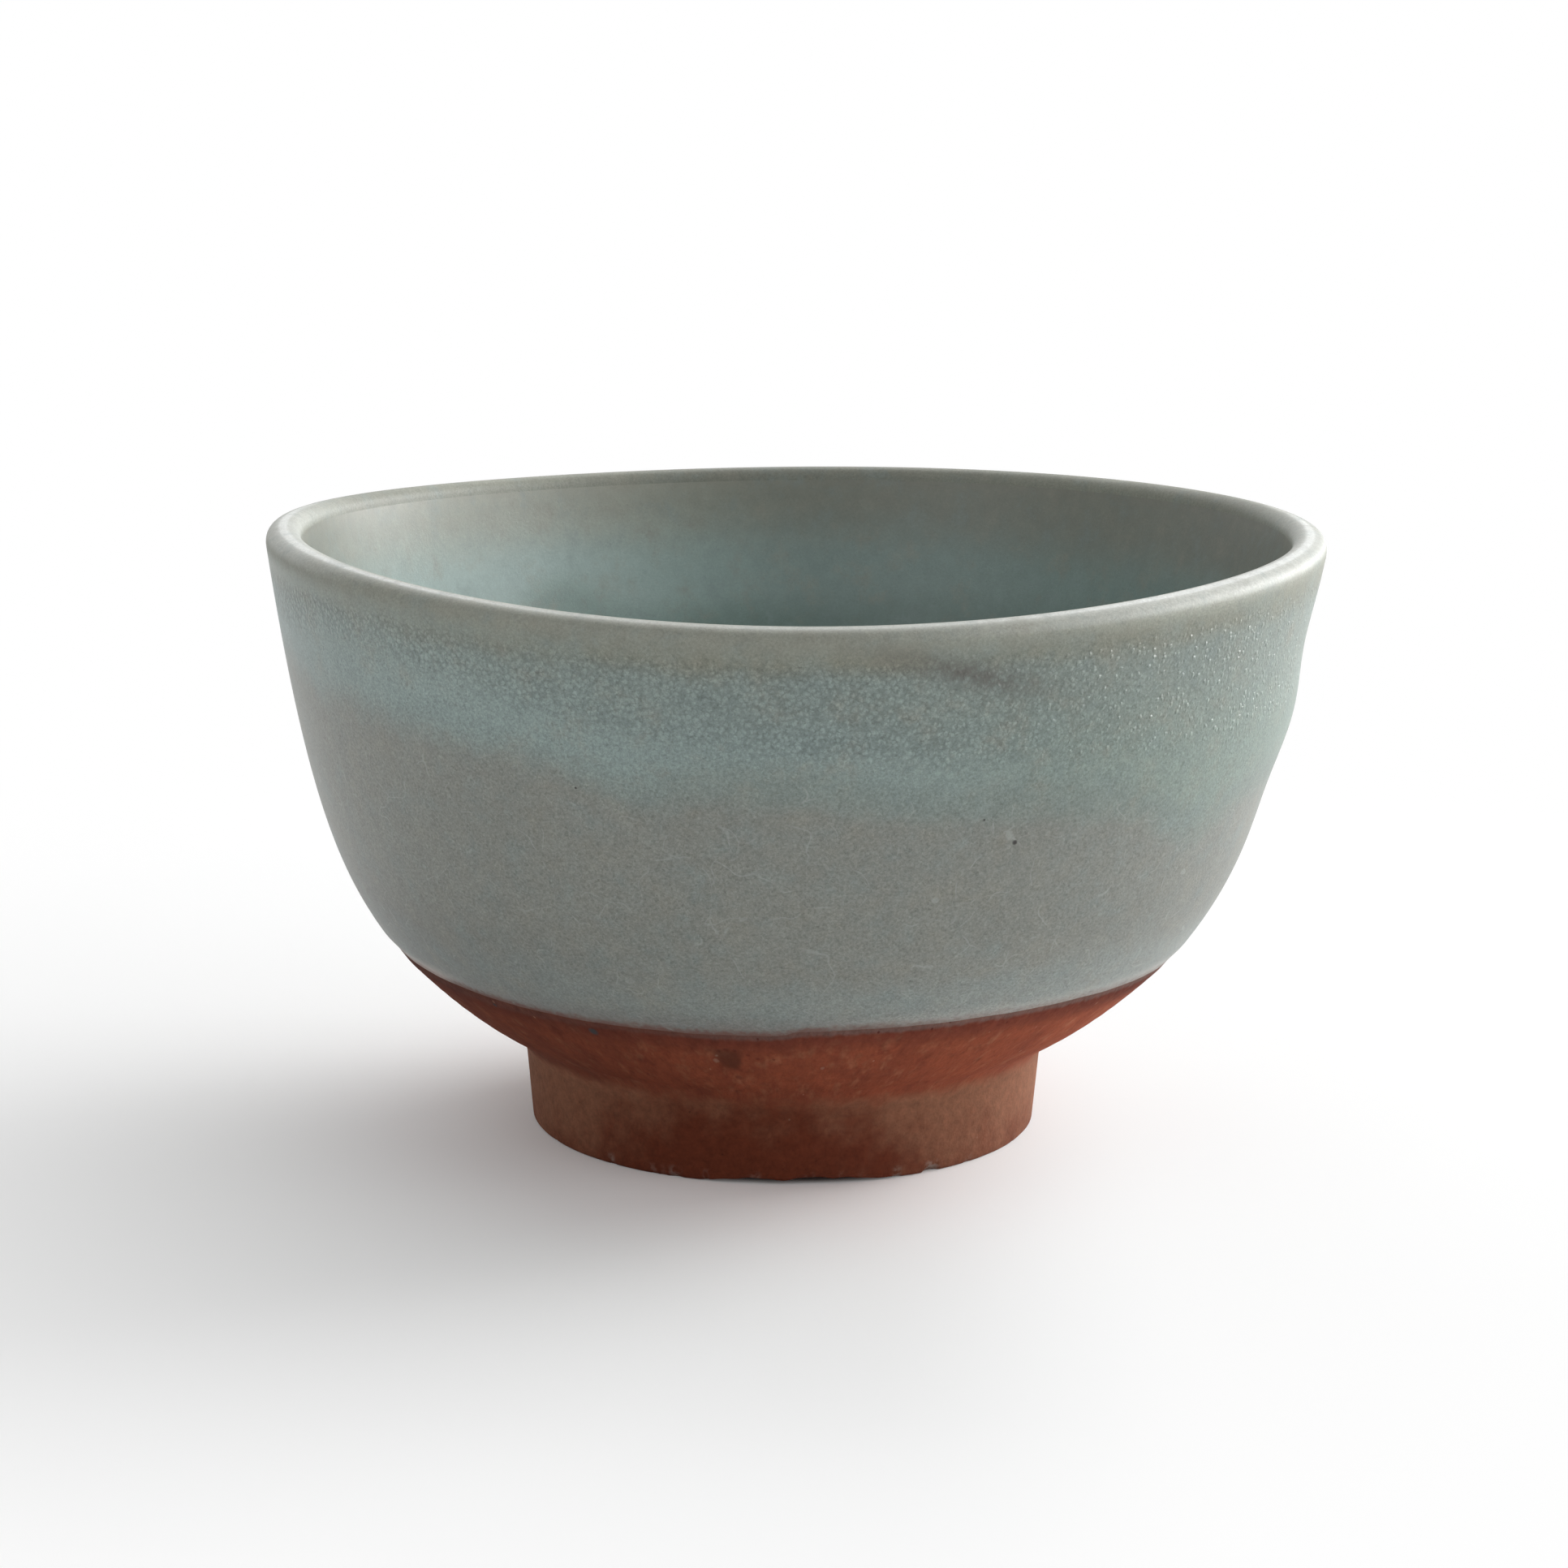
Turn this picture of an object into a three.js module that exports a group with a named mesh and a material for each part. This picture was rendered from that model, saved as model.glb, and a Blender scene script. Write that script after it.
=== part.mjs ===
// A tea bowl: a thrown red stoneware bowl on a luted foot ring, glazed inside and out.
// Millimetres, +Z up. The origin is on the table, under the middle of the bowl.
// An angle of 0 is along +X, and the side shown to a guest is at -Y.

import * as THREE from 'three';

// Foot ring
const FOOT_HEIGHT = 10.4; // from the table to the turned seat under the bowl
const FOOT_TOP_RADIUS = 29.75;
const FOOT_TAPER = 0.85; // how much narrower the ring is at the table
const FOOT_WALL = 6.4; // thickness of the ring at the table
const RECESS_DRAFT = 0.9; // how much the ring thickens inwards towards the seat
const FOOT_EDGE = 0.5; // rounding of the edges that touch the table
const SLIP_THICKNESS = 0.4; // luting slip between the ring and the seat
const SLIP_BEAD = 0.35; // how far the slip squeezes out inside the ring
const SLIP_FILLET = 2.4; // reach of the slip smoothed into the corner outside

// Turned underside, from the seat out to the turn of the wall
const KNEE_REACH = 6.3; // where the flat underside near the foot bends upwards
const KNEE_RISE = 2.35;
const TURN_RADIUS = 44.2; // where the underside becomes the wall
const TURN_HEIGHT = 21.0;

// Thrown wall and lip
const BOWL_HEIGHT = 67.5; // table to the crest of the bare clay lip
const RIM_RADIUS = 59.5; // bare clay, where the rounding of the lip starts
const LIP_THICKNESS = 3.4;
const LIP_ROUND = 1.6; // height of the rounding over the lip
const LIP_SQUARENESS = 2.6; // 2 would round the lip to half an ellipse
const WALL_TURN_ANGLE = THREE.MathUtils.degToRad(37); // lean from upright at the turn
const WALL_RIM_ANGLE = THREE.MathUtils.degToRad(10); // lean from upright at the rim
const WALL_TURN_PULL = 0.21; // pull of the two ends of the wall's curve, as a share of the wall's height
const WALL_RIM_PULL = 0.72;
const WALL_THICKNESS = 5.4; // at the turn, thinning to the lip
const FLOOR_THICKNESS = 5.6;
const FLOOR_RADIUS = 31; // where the inside wall would meet the flat of the floor

// Glaze
const GLAZE_THICKNESS = 0.3;
const BOND_GAP = 0.06; // clearance between the glaze and the clay that carries it
const GLAZE_LINE_HEIGHT = 21.8; // mean height of the lower edge outside
const GLAZE_LINE_WAVE = 0.6; // how far the edge wanders up and down
const GLAZE_LINE_WAVES = 3;
const GLAZE_LINE_CREST = THREE.MathUtils.degToRad(310);

// Warp of throwing and firing, which carries every piece alike
const FOOT_OFFSET = -0.6; // the foot stands a little to one side of the middle
const LEAN = 1.25; // how far the rim leans over the foot, along +X
const RIM_OVAL = 0.9; // out of round at the rim
const RIM_OVAL_ANGLE = THREE.MathUtils.degToRad(62);
const RIM_TILT = 0.19; // one side of the rim above the other
const RIM_TILT_ANGLE = THREE.MathUtils.degToRad(228);
const RIM_WAVE = 0.97; // rise and fall of the rim, twice round
const RIM_WAVE_ANGLE = THREE.MathUtils.degToRad(7);
const RIM_LOBE = 0.29; // the same, three times round
const RIM_LOBE_ANGLE = THREE.MathUtils.degToRad(81);
const RIDGE_DEPTH = 0.7; // throwing ridge on the +X side of the wall
const RIDGE_HEIGHT = 48.3;
const RIDGE_PITCH = 21; // from hollow to hollow
const RIDGE_REACH = 11.6; // how far up and down the ridge fades out
const RIDGE_SPREAD = THREE.MathUtils.degToRad(38); // how far round it fades out

// Facets
const SEGMENTS = 60;
const UNDERSIDE_STEPS = 4;
const WALL_STEPS = 9;
const LIP_STEPS = 6;
const FLOOR_STEPS = 4;
const EDGE_STEPS = 2;

const ringTop = FOOT_HEIGHT - SLIP_THICKNESS;
const footBottomRadius = FOOT_TOP_RADIUS - FOOT_TAPER;
const recessRadius = footBottomRadius - FOOT_WALL;
const recessTopRadius = recessRadius - RECESS_DRAFT;
const floorHeight = FOOT_HEIGHT + FLOOR_THICKNESS;
const glazeCoat = BOND_GAP + GLAZE_THICKNESS;

const point = (radius, height) => new THREE.Vector2(radius, height);

// The outside of the clay as one curve, from the corner of the seat to the start of the lip
const outside = new THREE.Path();
{
  const rimHeight = BOWL_HEIGHT - LIP_ROUND;
  const wallHeight = rimHeight - TURN_HEIGHT;
  const turnPull = WALL_TURN_PULL * wallHeight;
  const rimPull = WALL_RIM_PULL * wallHeight;
  outside.moveTo(FOOT_TOP_RADIUS, FOOT_HEIGHT);
  outside.quadraticCurveTo(
    FOOT_TOP_RADIUS + KNEE_REACH,
    FOOT_HEIGHT + KNEE_RISE,
    TURN_RADIUS,
    TURN_HEIGHT,
  );
  outside.bezierCurveTo(
    TURN_RADIUS + turnPull * Math.sin(WALL_TURN_ANGLE),
    TURN_HEIGHT + turnPull * Math.cos(WALL_TURN_ANGLE),
    RIM_RADIUS - rimPull * Math.sin(WALL_RIM_ANGLE),
    rimHeight - rimPull * Math.cos(WALL_RIM_ANGLE),
    RIM_RADIUS,
    rimHeight,
  );
}

// Share of the outside curve at which a growing measure of its points reaches a value
function shareWhere(measure, value) {
  const halvings = 24;
  let low = 0;
  let high = 1;
  for (let i = 0; i < halvings; i++) {
    const middle = (low + high) / 2;
    if (measure(outside.getPoint(middle)) < value) low = middle;
    else high = middle;
  }
  return low;
}

const shareAtHeight = (height) => shareWhere((place) => place.y, height);
const shareAtRadius = (radius) => shareWhere((place) => place.x, radius);

const turnShare = shareAtHeight(GLAZE_LINE_HEIGHT);

// Point on the inside of the wall, across its thickness from a share of the outside curve
function insidePoint(share) {
  const toLip = (share - turnShare) / (1 - turnShare);
  const thickness = THREE.MathUtils.lerp(WALL_THICKNESS, LIP_THICKNESS, toLip);
  const tangent = outside.getTangent(share);
  return outside.getPoint(share).add(point(-tangent.y, tangent.x).multiplyScalar(thickness));
}

// Points from one share of a curve to another
function along(curvePoint, from, to, steps) {
  return Array.from({ length: steps + 1 }, (_, i) => curvePoint(THREE.MathUtils.lerp(from, to, i / steps)));
}

// The rounding between the top of the outside and the top of the inside
function lipPoint(turn) {
  const outer = outside.getPoint(1);
  const inner = insidePoint(1);
  const middle = outer.clone().lerp(inner, 0.5);
  const halfWidth = outer.clone().sub(middle);
  const upward = outside.getTangent(1).multiplyScalar(LIP_ROUND);
  const squared = (value) => Math.sign(value) * Math.abs(value) ** (2 / LIP_SQUARENESS);
  middle.addScaledVector(halfWidth, squared(Math.cos(turn)));
  return middle.addScaledVector(upward, squared(Math.sin(turn)));
}

// The inside, from the lip down the wall and across the floor to the axis
const insideWall = along(insidePoint, 1, turnShare, WALL_STEPS);
const floorCurve = new THREE.QuadraticBezierCurve(
  insideWall.at(-1),
  point(FLOOR_RADIUS, floorHeight),
  point(0, floorHeight),
);
const lip = along(lipPoint, 0, Math.PI, LIP_STEPS).slice(1, -1);
const inside = [...insideWall, ...floorCurve.getPoints(FLOOR_STEPS).slice(1)];
const lipEnd = WALL_STEPS + LIP_STEPS; // where the two coats of glaze meet, counted from the glaze line

function glazeLineShare(angle) {
  const wave = GLAZE_LINE_WAVE * Math.cos(GLAZE_LINE_WAVES * (angle - GLAZE_LINE_CREST));
  return shareAtHeight(GLAZE_LINE_HEIGHT + wave);
}

// All the clay that glaze covers, from the glaze line over the lip to the middle of the floor
function glazedSkin(angle) {
  const outsidePoint = (share) => outside.getPoint(share);
  return [...along(outsidePoint, glazeLineShare(angle), 1, WALL_STEPS), ...lip, ...inside];
}

// The same line moved out of the clay by a distance, square to its surface
function raised(line, distance) {
  const normals = line.slice(1).map((end, i) => {
    const run = end.clone().sub(line[i]).normalize();
    return point(run.y, -run.x);
  });
  return line.map((start, i) => {
    if (start.x === 0) return point(0, start.y + distance);
    const before = normals[Math.max(i - 1, 0)];
    const after = normals[Math.min(i, normals.length - 1)];
    const mean = before.clone().add(after).normalize();
    return start.clone().addScaledVector(mean, distance / mean.dot(before));
  });
}

// Place of a point of the unwarped bowl after throwing and firing
function warped(radius, angle, height) {
  const rise = Math.max(0, (height - FOOT_HEIGHT) / (BOWL_HEIGHT - FOOT_HEIGHT));
  const reach = radius / RIM_RADIUS;
  const oval = RIM_OVAL * Math.cos(2 * (angle - RIM_OVAL_ANGLE)) * rise ** 2;
  const ridgeWave = Math.cos((2 * Math.PI * (height - RIDGE_HEIGHT)) / RIDGE_PITCH);
  const ridgeFade = Math.exp(-(((height - RIDGE_HEIGHT) / RIDGE_REACH) ** 2));
  const ridgeRound = Math.exp((Math.cos(angle) - 1) / (1 - Math.cos(RIDGE_SPREAD)));
  const ridge = RIDGE_DEPTH * ridgeWave * ridgeFade * ridgeRound * Math.min(rise, 1);
  const tilt = RIM_TILT * Math.cos(angle - RIM_TILT_ANGLE);
  const wave = RIM_WAVE * Math.cos(2 * (angle - RIM_WAVE_ANGLE));
  const lobe = RIM_LOBE * Math.cos(3 * (angle - RIM_LOBE_ANGLE));
  const out = radius + (oval + ridge) * reach;
  return [
    FOOT_OFFSET + LEAN * rise + out * Math.cos(angle),
    out * Math.sin(angle),
    height + (tilt + wave + lobe) * (rise * reach) ** 2,
  ];
}

// Revolves a section, which may change with the angle, and warps it
function revolved(sectionAt) {
  const first = sectionAt(0);
  const geometry = new THREE.LatheGeometry(first, SEGMENTS);
  const position = geometry.attributes.position;
  for (let i = 0; i <= SEGMENTS; i++) {
    const angle = ((i % SEGMENTS) * 2 * Math.PI) / SEGMENTS;
    sectionAt(angle).forEach((place, j) => {
      position.setXYZ(i * first.length + j, ...warped(place.x, angle, place.y));
    });
  }
  geometry.computeVertexNormals();
  return geometry;
}

// Clay bowl: flat seat, turned underside, wall, lip, inside and floor
function bowlSection(angle) {
  const outsidePoint = (share) => outside.getPoint(share);
  const underside = along(outsidePoint, 0, glazeLineShare(angle), UNDERSIDE_STEPS).slice(0, -1);
  return [point(0, FOOT_HEIGHT), ...underside, ...glazedSkin(angle)];
}

// Foot ring: flat on the table and on top, both lower edges rounded
function footSection() {
  const ring = new THREE.Path();
  const quarter = Math.PI / 2;
  ring.moveTo(recessRadius + FOOT_EDGE, 0);
  ring.lineTo(footBottomRadius - FOOT_EDGE, 0);
  ring.absarc(footBottomRadius - FOOT_EDGE, FOOT_EDGE, FOOT_EDGE, -quarter, 0);
  ring.lineTo(FOOT_TOP_RADIUS, ringTop);
  ring.lineTo(recessTopRadius, ringTop);
  ring.lineTo(recessRadius, FOOT_EDGE);
  ring.absarc(recessRadius + FOOT_EDGE, FOOT_EDGE, FOOT_EDGE, 2 * quarter, 3 * quarter);
  ring.closePath();
  return closed(ring.getPoints(EDGE_STEPS));
}

// Luting slip: a flat ring, smoothed into a hollow fillet outside and left as a bead inside
function slipSection() {
  const slip = new THREE.Path();
  const middle = (ringTop + FOOT_HEIGHT) / 2;
  const bulge = 2 * SLIP_BEAD; // the control point of the bead's curve stands out twice as far as the bead
  const ringSlope = FOOT_TAPER / (ringTop - FOOT_EDGE);
  const filletFoot = FOOT_TOP_RADIUS - ringSlope * SLIP_FILLET + BOND_GAP;
  const filletTop = outside.getPoint(shareAtRadius(FOOT_TOP_RADIUS + SLIP_FILLET));
  slip.moveTo(recessTopRadius, ringTop);
  slip.lineTo(FOOT_TOP_RADIUS, ringTop);
  slip.lineTo(FOOT_TOP_RADIUS + BOND_GAP, ringTop);
  slip.lineTo(filletFoot, ringTop - SLIP_FILLET);
  slip.quadraticCurveTo(FOOT_TOP_RADIUS + BOND_GAP, ringTop, filletTop.x, filletTop.y - BOND_GAP);
  slip.lineTo(FOOT_TOP_RADIUS, FOOT_HEIGHT);
  slip.lineTo(recessTopRadius, FOOT_HEIGHT);
  slip.quadraticCurveTo(recessTopRadius - bulge, middle, recessTopRadius, ringTop);
  return closed(slip.getPoints(EDGE_STEPS));
}

// Outside coat: up the wall and over the lip, with a rolled lower edge
function outerGlazeSection(angle) {
  const skin = glazedSkin(angle);
  const face = raised(skin, glazeCoat).slice(0, lipEnd + 1);
  const bond = raised(skin, BOND_GAP).slice(0, lipEnd + 1);
  const downWall = skin[0].clone().sub(skin[1]).normalize();
  const roll = face[0].clone().lerp(bond[0], 0.5).addScaledVector(downWall, GLAZE_THICKNESS / 2);
  return [...face, ...bond.reverse(), roll, face[0]];
}

// Inside coat: from the inner edge of the lip to the middle of the floor
function innerGlazeSection() {
  const skin = glazedSkin(0);
  const start = BOND_GAP / skin[lipEnd].distanceTo(skin[lipEnd + 1]);
  const fromLip = (line) => [line[lipEnd].clone().lerp(line[lipEnd + 1], start), ...line.slice(lipEnd + 1)];
  const face = fromLip(raised(skin, glazeCoat));
  const bond = fromLip(raised(skin, BOND_GAP));
  return [...bond.reverse(), ...face];
}

// A closed outline ends on its first point
function closed(outline) {
  const end = outline.at(-1);
  return end.equals(outline[0]) ? outline : [...outline, outline[0].clone()];
}

const redClay = { color: 0x8a4632, roughness: 0.85, metalness: 0 };
const brownClay = { color: 0x7a4a36, roughness: 0.9, metalness: 0 };
const paleSlip = { color: 0x96604a, roughness: 0.9, metalness: 0 };
const celadon = { color: 0x85918b, roughness: 0.42, metalness: 0 };
const insideCeladon = { color: 0x7f8e89, roughness: 0.42, metalness: 0 };

const pieces = [
  ['thrown_bowl', bowlSection, redClay],
  ['foot_ring', footSection, brownClay],
  ['slip_joint', slipSection, paleSlip],
  ['outer_glaze', outerGlazeSection, celadon],
  ['inner_glaze', innerGlazeSection, insideCeladon],
];

const teaBowl = new THREE.Group();
for (const [name, section, finish] of pieces) {
  const mesh = new THREE.Mesh(revolved(section), new THREE.MeshStandardMaterial(finish));
  mesh.name = name;
  teaBowl.add(mesh);
}

export default teaBowl;
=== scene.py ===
"""A footed stoneware tea bowl: its looks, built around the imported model.

Sizes are in millimetres and the scene is in metres. The bowl stands at the origin with +Z up, and the side
shown to a guest faces -Y. An angle runs from +X; a bearing runs from the front and grows to the right.
"""

import logging
import math
import random
from contextlib import contextmanager
from dataclasses import dataclass
from enum import Enum
from typing import Any, Callable, Iterator, Mapping, Sequence, Union

import bpy
import numpy as np
from mathutils import Matrix, Vector


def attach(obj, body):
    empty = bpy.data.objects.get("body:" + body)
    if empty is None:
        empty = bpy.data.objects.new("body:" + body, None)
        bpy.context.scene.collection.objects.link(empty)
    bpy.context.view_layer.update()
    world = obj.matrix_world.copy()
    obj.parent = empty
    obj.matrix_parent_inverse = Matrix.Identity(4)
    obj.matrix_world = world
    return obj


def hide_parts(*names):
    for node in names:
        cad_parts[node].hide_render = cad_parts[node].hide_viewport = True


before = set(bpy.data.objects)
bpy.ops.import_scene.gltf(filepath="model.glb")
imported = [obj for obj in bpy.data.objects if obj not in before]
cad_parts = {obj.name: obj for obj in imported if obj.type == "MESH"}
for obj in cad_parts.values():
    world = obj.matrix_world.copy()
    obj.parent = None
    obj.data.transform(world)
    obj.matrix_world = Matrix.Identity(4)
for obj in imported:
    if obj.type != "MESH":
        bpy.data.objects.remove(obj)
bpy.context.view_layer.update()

LOG = logging.getLogger("tea_bowl")
MM = 0.001
TOLERANCE = 0.01
FULL_TURN = 2 * math.pi
FRONT_ANGLE = math.radians(270)
WHITE = (1.0, 1.0, 1.0)
BODY = "root"

Colour = tuple[float, float, float]
Span = tuple[float, float]
Waves = tuple[tuple[int, float, float], ...]
Number = Union[float, "Field"]
Mould = Callable[[np.ndarray, np.ndarray, np.ndarray], tuple[np.ndarray, np.ndarray, np.ndarray]]


# Curves

def bezier(*pulls: Sequence[float], samples: int = 300) -> np.ndarray:
    """Points of a Bezier curve.

    Args:
        pulls: the curve's end points with its control points between them.
        samples: how many points to return.

    Returns:
        One row for each point.
    """
    share = np.linspace(0, 1, samples)[:, None]
    level = [np.asarray(pull, float) for pull in pulls]
    while len(level) > 1:
        level = [(1 - share) * start + share * end for start, end in zip(level, level[1:])]
    return level[0]


def lengths(line: np.ndarray) -> np.ndarray:
    """Length of a line up to each of its points."""
    steps = np.linalg.norm(np.diff(line, axis=0), axis=1)
    return np.concatenate([[0], np.cumsum(steps)])


def along(line: np.ndarray, shares: np.ndarray) -> np.ndarray:
    """Points of a line at shares of its length.

    Args:
        line: the line's points, one row each.
        shares: shares of the length, from 0 to 1.

    Returns:
        One row for each share.
    """
    length = lengths(line)
    reach = np.asarray(shares) * length[-1]
    return np.stack([np.interp(reach, length, column) for column in line.T], 1)


def raised(line: np.ndarray, distance: Union[float, np.ndarray]) -> np.ndarray:
    """A line moved square to itself, to its right as it runs upwards.

    Args:
        line: radius and height of each point.
        distance: how far the line moves, everywhere alike or point by point.

    Returns:
        The moved points, with a point on the axis kept there.
    """
    run = np.gradient(line, axis=0)
    run /= np.linalg.norm(run, axis=1, keepdims=True)
    moved = line + np.stack([run[:, 1], -run[:, 0]], 1) * np.reshape(distance, (-1, 1))
    moved[line[:, 0] == 0, 0] = 0
    return moved


def swell(value: np.ndarray, middle: float, spread: float) -> np.ndarray:
    """A smooth bump of height 1 round a value."""
    return np.exp(-((value - middle) / spread) ** 2)


def turned_from(angle: np.ndarray, bearing: float) -> np.ndarray:
    """Degrees, from -180 to 180, by which angles lie to the right of a bearing given in degrees."""
    return (np.degrees(angle - FRONT_ANGLE) - bearing + 180) % 360 - 180


def plateau(angle: np.ndarray, bearing: float, width: float) -> np.ndarray:
    """A bump of height 1 with a flat top, round a bearing and with a width given in degrees."""
    return np.exp(-(turned_from(angle, bearing) / width) ** 4)


def ripples(angle: np.ndarray, waves: Waves) -> np.ndarray:
    """Sum of waves round the axis, each given by its count, its phase in radians and its height."""
    return sum(high * np.cos(count * angle + phase) for count, phase, high in waves)


def eased(share: np.ndarray) -> np.ndarray:
    """Shares held between 0 and 1, with a soft start and end."""
    share = np.clip(share, 0, 1)
    return share * share * (3 - 2 * share)


@dataclass(frozen=True)
class BowlForm:
    """Driving sizes of the bowl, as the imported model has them."""

    foot_height: float = 10.4
    foot_top_radius: float = 29.75
    foot_taper: float = 0.85
    foot_wall: float = 6.4
    recess_draft: float = 0.9
    foot_edge: float = 0.5
    slip_thickness: float = 0.4
    slip_bead: float = 0.35
    slip_fillet: float = 2.4
    knee_reach: float = 6.3
    knee_rise: float = 2.35
    turn_radius: float = 44.2
    turn_height: float = 21.0
    bowl_height: float = 67.5
    rim_radius: float = 59.5
    lip_thickness: float = 3.4
    lip_round: float = 1.6
    lip_squareness: float = 2.6
    wall_turn_angle: float = 37.0
    wall_rim_angle: float = 10.0
    wall_turn_pull: float = 0.21
    wall_rim_pull: float = 0.72
    wall_thickness: float = 5.4
    floor_thickness: float = 5.6
    floor_radius: float = 31.0
    glaze_thickness: float = 0.3
    bond_gap: float = 0.06
    glaze_line_height: float = 21.8
    foot_offset: float = -0.6
    lean: float = 1.25
    rim_oval: float = 0.9
    rim_oval_angle: float = 62.0
    rim_tilt: float = 0.19
    rim_tilt_angle: float = 228.0
    rim_wave: float = 0.97
    rim_wave_angle: float = 7.0
    rim_lobe: float = 0.29
    rim_lobe_angle: float = 81.0
    ridge_depth: float = 0.7
    ridge_height: float = 48.3
    ridge_pitch: float = 21.0
    ridge_reach: float = 11.6
    ridge_spread: float = 38.0

    @property
    def ring_top(self) -> float:
        """Height of the top of the foot ring, under the slip."""
        return self.foot_height - self.slip_thickness

    @property
    def foot_bottom_radius(self) -> float:
        """Radius of the foot ring at the table."""
        return self.foot_top_radius - self.foot_taper

    @property
    def recess_radius(self) -> float:
        """Radius of the recess in the foot at the table."""
        return self.foot_bottom_radius - self.foot_wall

    @property
    def recess_top_radius(self) -> float:
        """Radius of the recess in the foot under the bowl."""
        return self.recess_radius - self.recess_draft

    @property
    def glaze_coat(self) -> float:
        """Distance from the clay to the face of the glaze."""
        return self.glaze_thickness + self.bond_gap

    def outside_line(self) -> np.ndarray:
        """The outside of the clay, from the corner of the foot up to the rounding of the lip.

        Returns:
            Radius and height of each point.
        """
        corner = np.array([self.foot_top_radius, self.foot_height])
        knee = corner + (self.knee_reach, self.knee_rise)
        turn = np.array([self.turn_radius, self.turn_height])
        rim = np.array([self.rim_radius, self.bowl_height - self.lip_round])
        wall = rim[1] - turn[1]
        turn_pull = turn + self.wall_turn_pull * wall * self._lean(self.wall_turn_angle)
        rim_pull = rim - self.wall_rim_pull * wall * self._lean(self.wall_rim_angle)
        underside = bezier(corner, knee, turn)
        side = bezier(turn, turn_pull, rim_pull, rim)
        return along(np.vstack([underside, side[1:]]), np.linspace(0, 1, len(underside) + len(side)))

    @staticmethod
    def _lean(degrees: float) -> np.ndarray:
        """Direction that leans outwards from upright."""
        return np.array([math.sin(math.radians(degrees)), math.cos(math.radians(degrees))])

    def _squared(self, share: np.ndarray) -> np.ndarray:
        """A sine or cosine bent so that the lip is squarer than an ellipse."""
        return np.sign(share) * np.abs(share) ** (2 / self.lip_squareness)

    def radius_at(self, height: np.ndarray) -> np.ndarray:
        """Radius of the outside of the clay at heights."""
        line = self.outside_line()
        return np.interp(height, line[:, 1], line[:, 0])

    def skin(self, wall_rings: int, lip_rings: int, floor_rings: int) -> tuple[np.ndarray, int]:
        """The clay that glaze covers, from the glaze line over the lip to the middle of the floor.

        Args:
            wall_rings: steps up the outside, and again down the inside.
            lip_rings: steps over the lip.
            floor_rings: steps from the foot of the inside wall to the axis.

        Returns:
            The points, and the place in them of the inner edge of the lip, where the two coats meet.
        """
        line = self.outside_line()
        outside = line[line[:, 1] >= self.glaze_line_height]
        share = np.linspace(0, 1, len(outside))[:, None]
        thickness = self.wall_thickness + share * (self.lip_thickness - self.wall_thickness)
        inside = outside + (raised(outside, -1) - outside) * thickness
        wall_steps = np.linspace(0, 1, wall_rings + 1)
        outer = along(outside, wall_steps)
        inner = along(inside, wall_steps)[::-1]
        middle = (outer[-1] + inner[0]) / 2
        upward = self.lip_round * self._lean(self.wall_rim_angle)
        turns = np.linspace(0, math.pi, lip_rings + 1)[1:-1, None]
        across, up = self._squared(np.cos(turns)), self._squared(np.sin(turns))
        lip = middle + across * (outer[-1] - middle) + up * upward
        floor_height = self.foot_height + self.floor_thickness
        floor = bezier(inner[-1], (self.floor_radius, floor_height), (0, floor_height))
        floor = along(floor, np.linspace(0, 1, floor_rings + 1))[1:]
        return np.vstack([outer, lip, inner, floor]), wall_rings + lip_rings

    def fired(self, radius: np.ndarray, angle: np.ndarray, height: np.ndarray) -> tuple[np.ndarray, ...]:
        """Places after throwing and firing have warped the bowl.

        Args:
            radius: distance from the axis before the warp.
            angle: angle about the axis, in radians.
            height: height before the warp.

        Returns:
            The x, y and z of each place.
        """
        rise = np.maximum(0, (height - self.foot_height) / (self.bowl_height - self.foot_height))
        reach = radius / self.rim_radius
        oval = self.rim_oval * np.cos(2 * (angle - math.radians(self.rim_oval_angle))) * rise ** 2
        ridge = self.ridge_depth * np.cos(FULL_TURN * (height - self.ridge_height) / self.ridge_pitch)
        ridge *= swell(height, self.ridge_height, self.ridge_reach) * np.minimum(rise, 1)
        ridge *= np.exp((np.cos(angle) - 1) / (1 - math.cos(math.radians(self.ridge_spread))))
        wave = self.rim_tilt * np.cos(angle - math.radians(self.rim_tilt_angle))
        wave += self.rim_wave * np.cos(2 * (angle - math.radians(self.rim_wave_angle)))
        wave += self.rim_lobe * np.cos(3 * (angle - math.radians(self.rim_lobe_angle)))
        out = radius + (oval + ridge) * reach
        x = self.foot_offset + self.lean * rise + out * np.cos(angle)
        return x, out * np.sin(angle), height + wave * (rise * reach) ** 2


@dataclass(frozen=True)
class GlazeLine:
    """The wavy lower edge of the outside glaze, where the bowl was held to be dipped."""

    height: float = BowlForm.glaze_line_height
    wave: float = 0.6
    waves: int = 3
    crest: float = 310.0
    kink_bearing: float = 0.6
    kink_rise: float = 0.24
    kink_width: float = 0.7
    kink_reach: float = 14.0
    ripple: float = 0.02
    ripple_waves: Waves = ((23, 0, 1), (41, 1, 1), (97, 2, 0.6))

    def heights(self, angle: np.ndarray) -> np.ndarray:
        """Height of the edge all round.

        Args:
            angle: angles about the axis, in radians.

        Returns:
            The height at each angle.
        """
        wave = self.wave * np.cos(self.waves * (angle - math.radians(self.crest)))
        turn = turned_from(angle, self.kink_bearing)
        kink = self.kink_rise * np.tanh(turn / self.kink_width) * swell(turn, 0, self.kink_reach)
        return self.height + wave + kink + self.ripple * ripples(angle, self.ripple_waves)


FORM = BowlForm()
GLAZE_LINE = GlazeLine()


# Turning meshes

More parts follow.
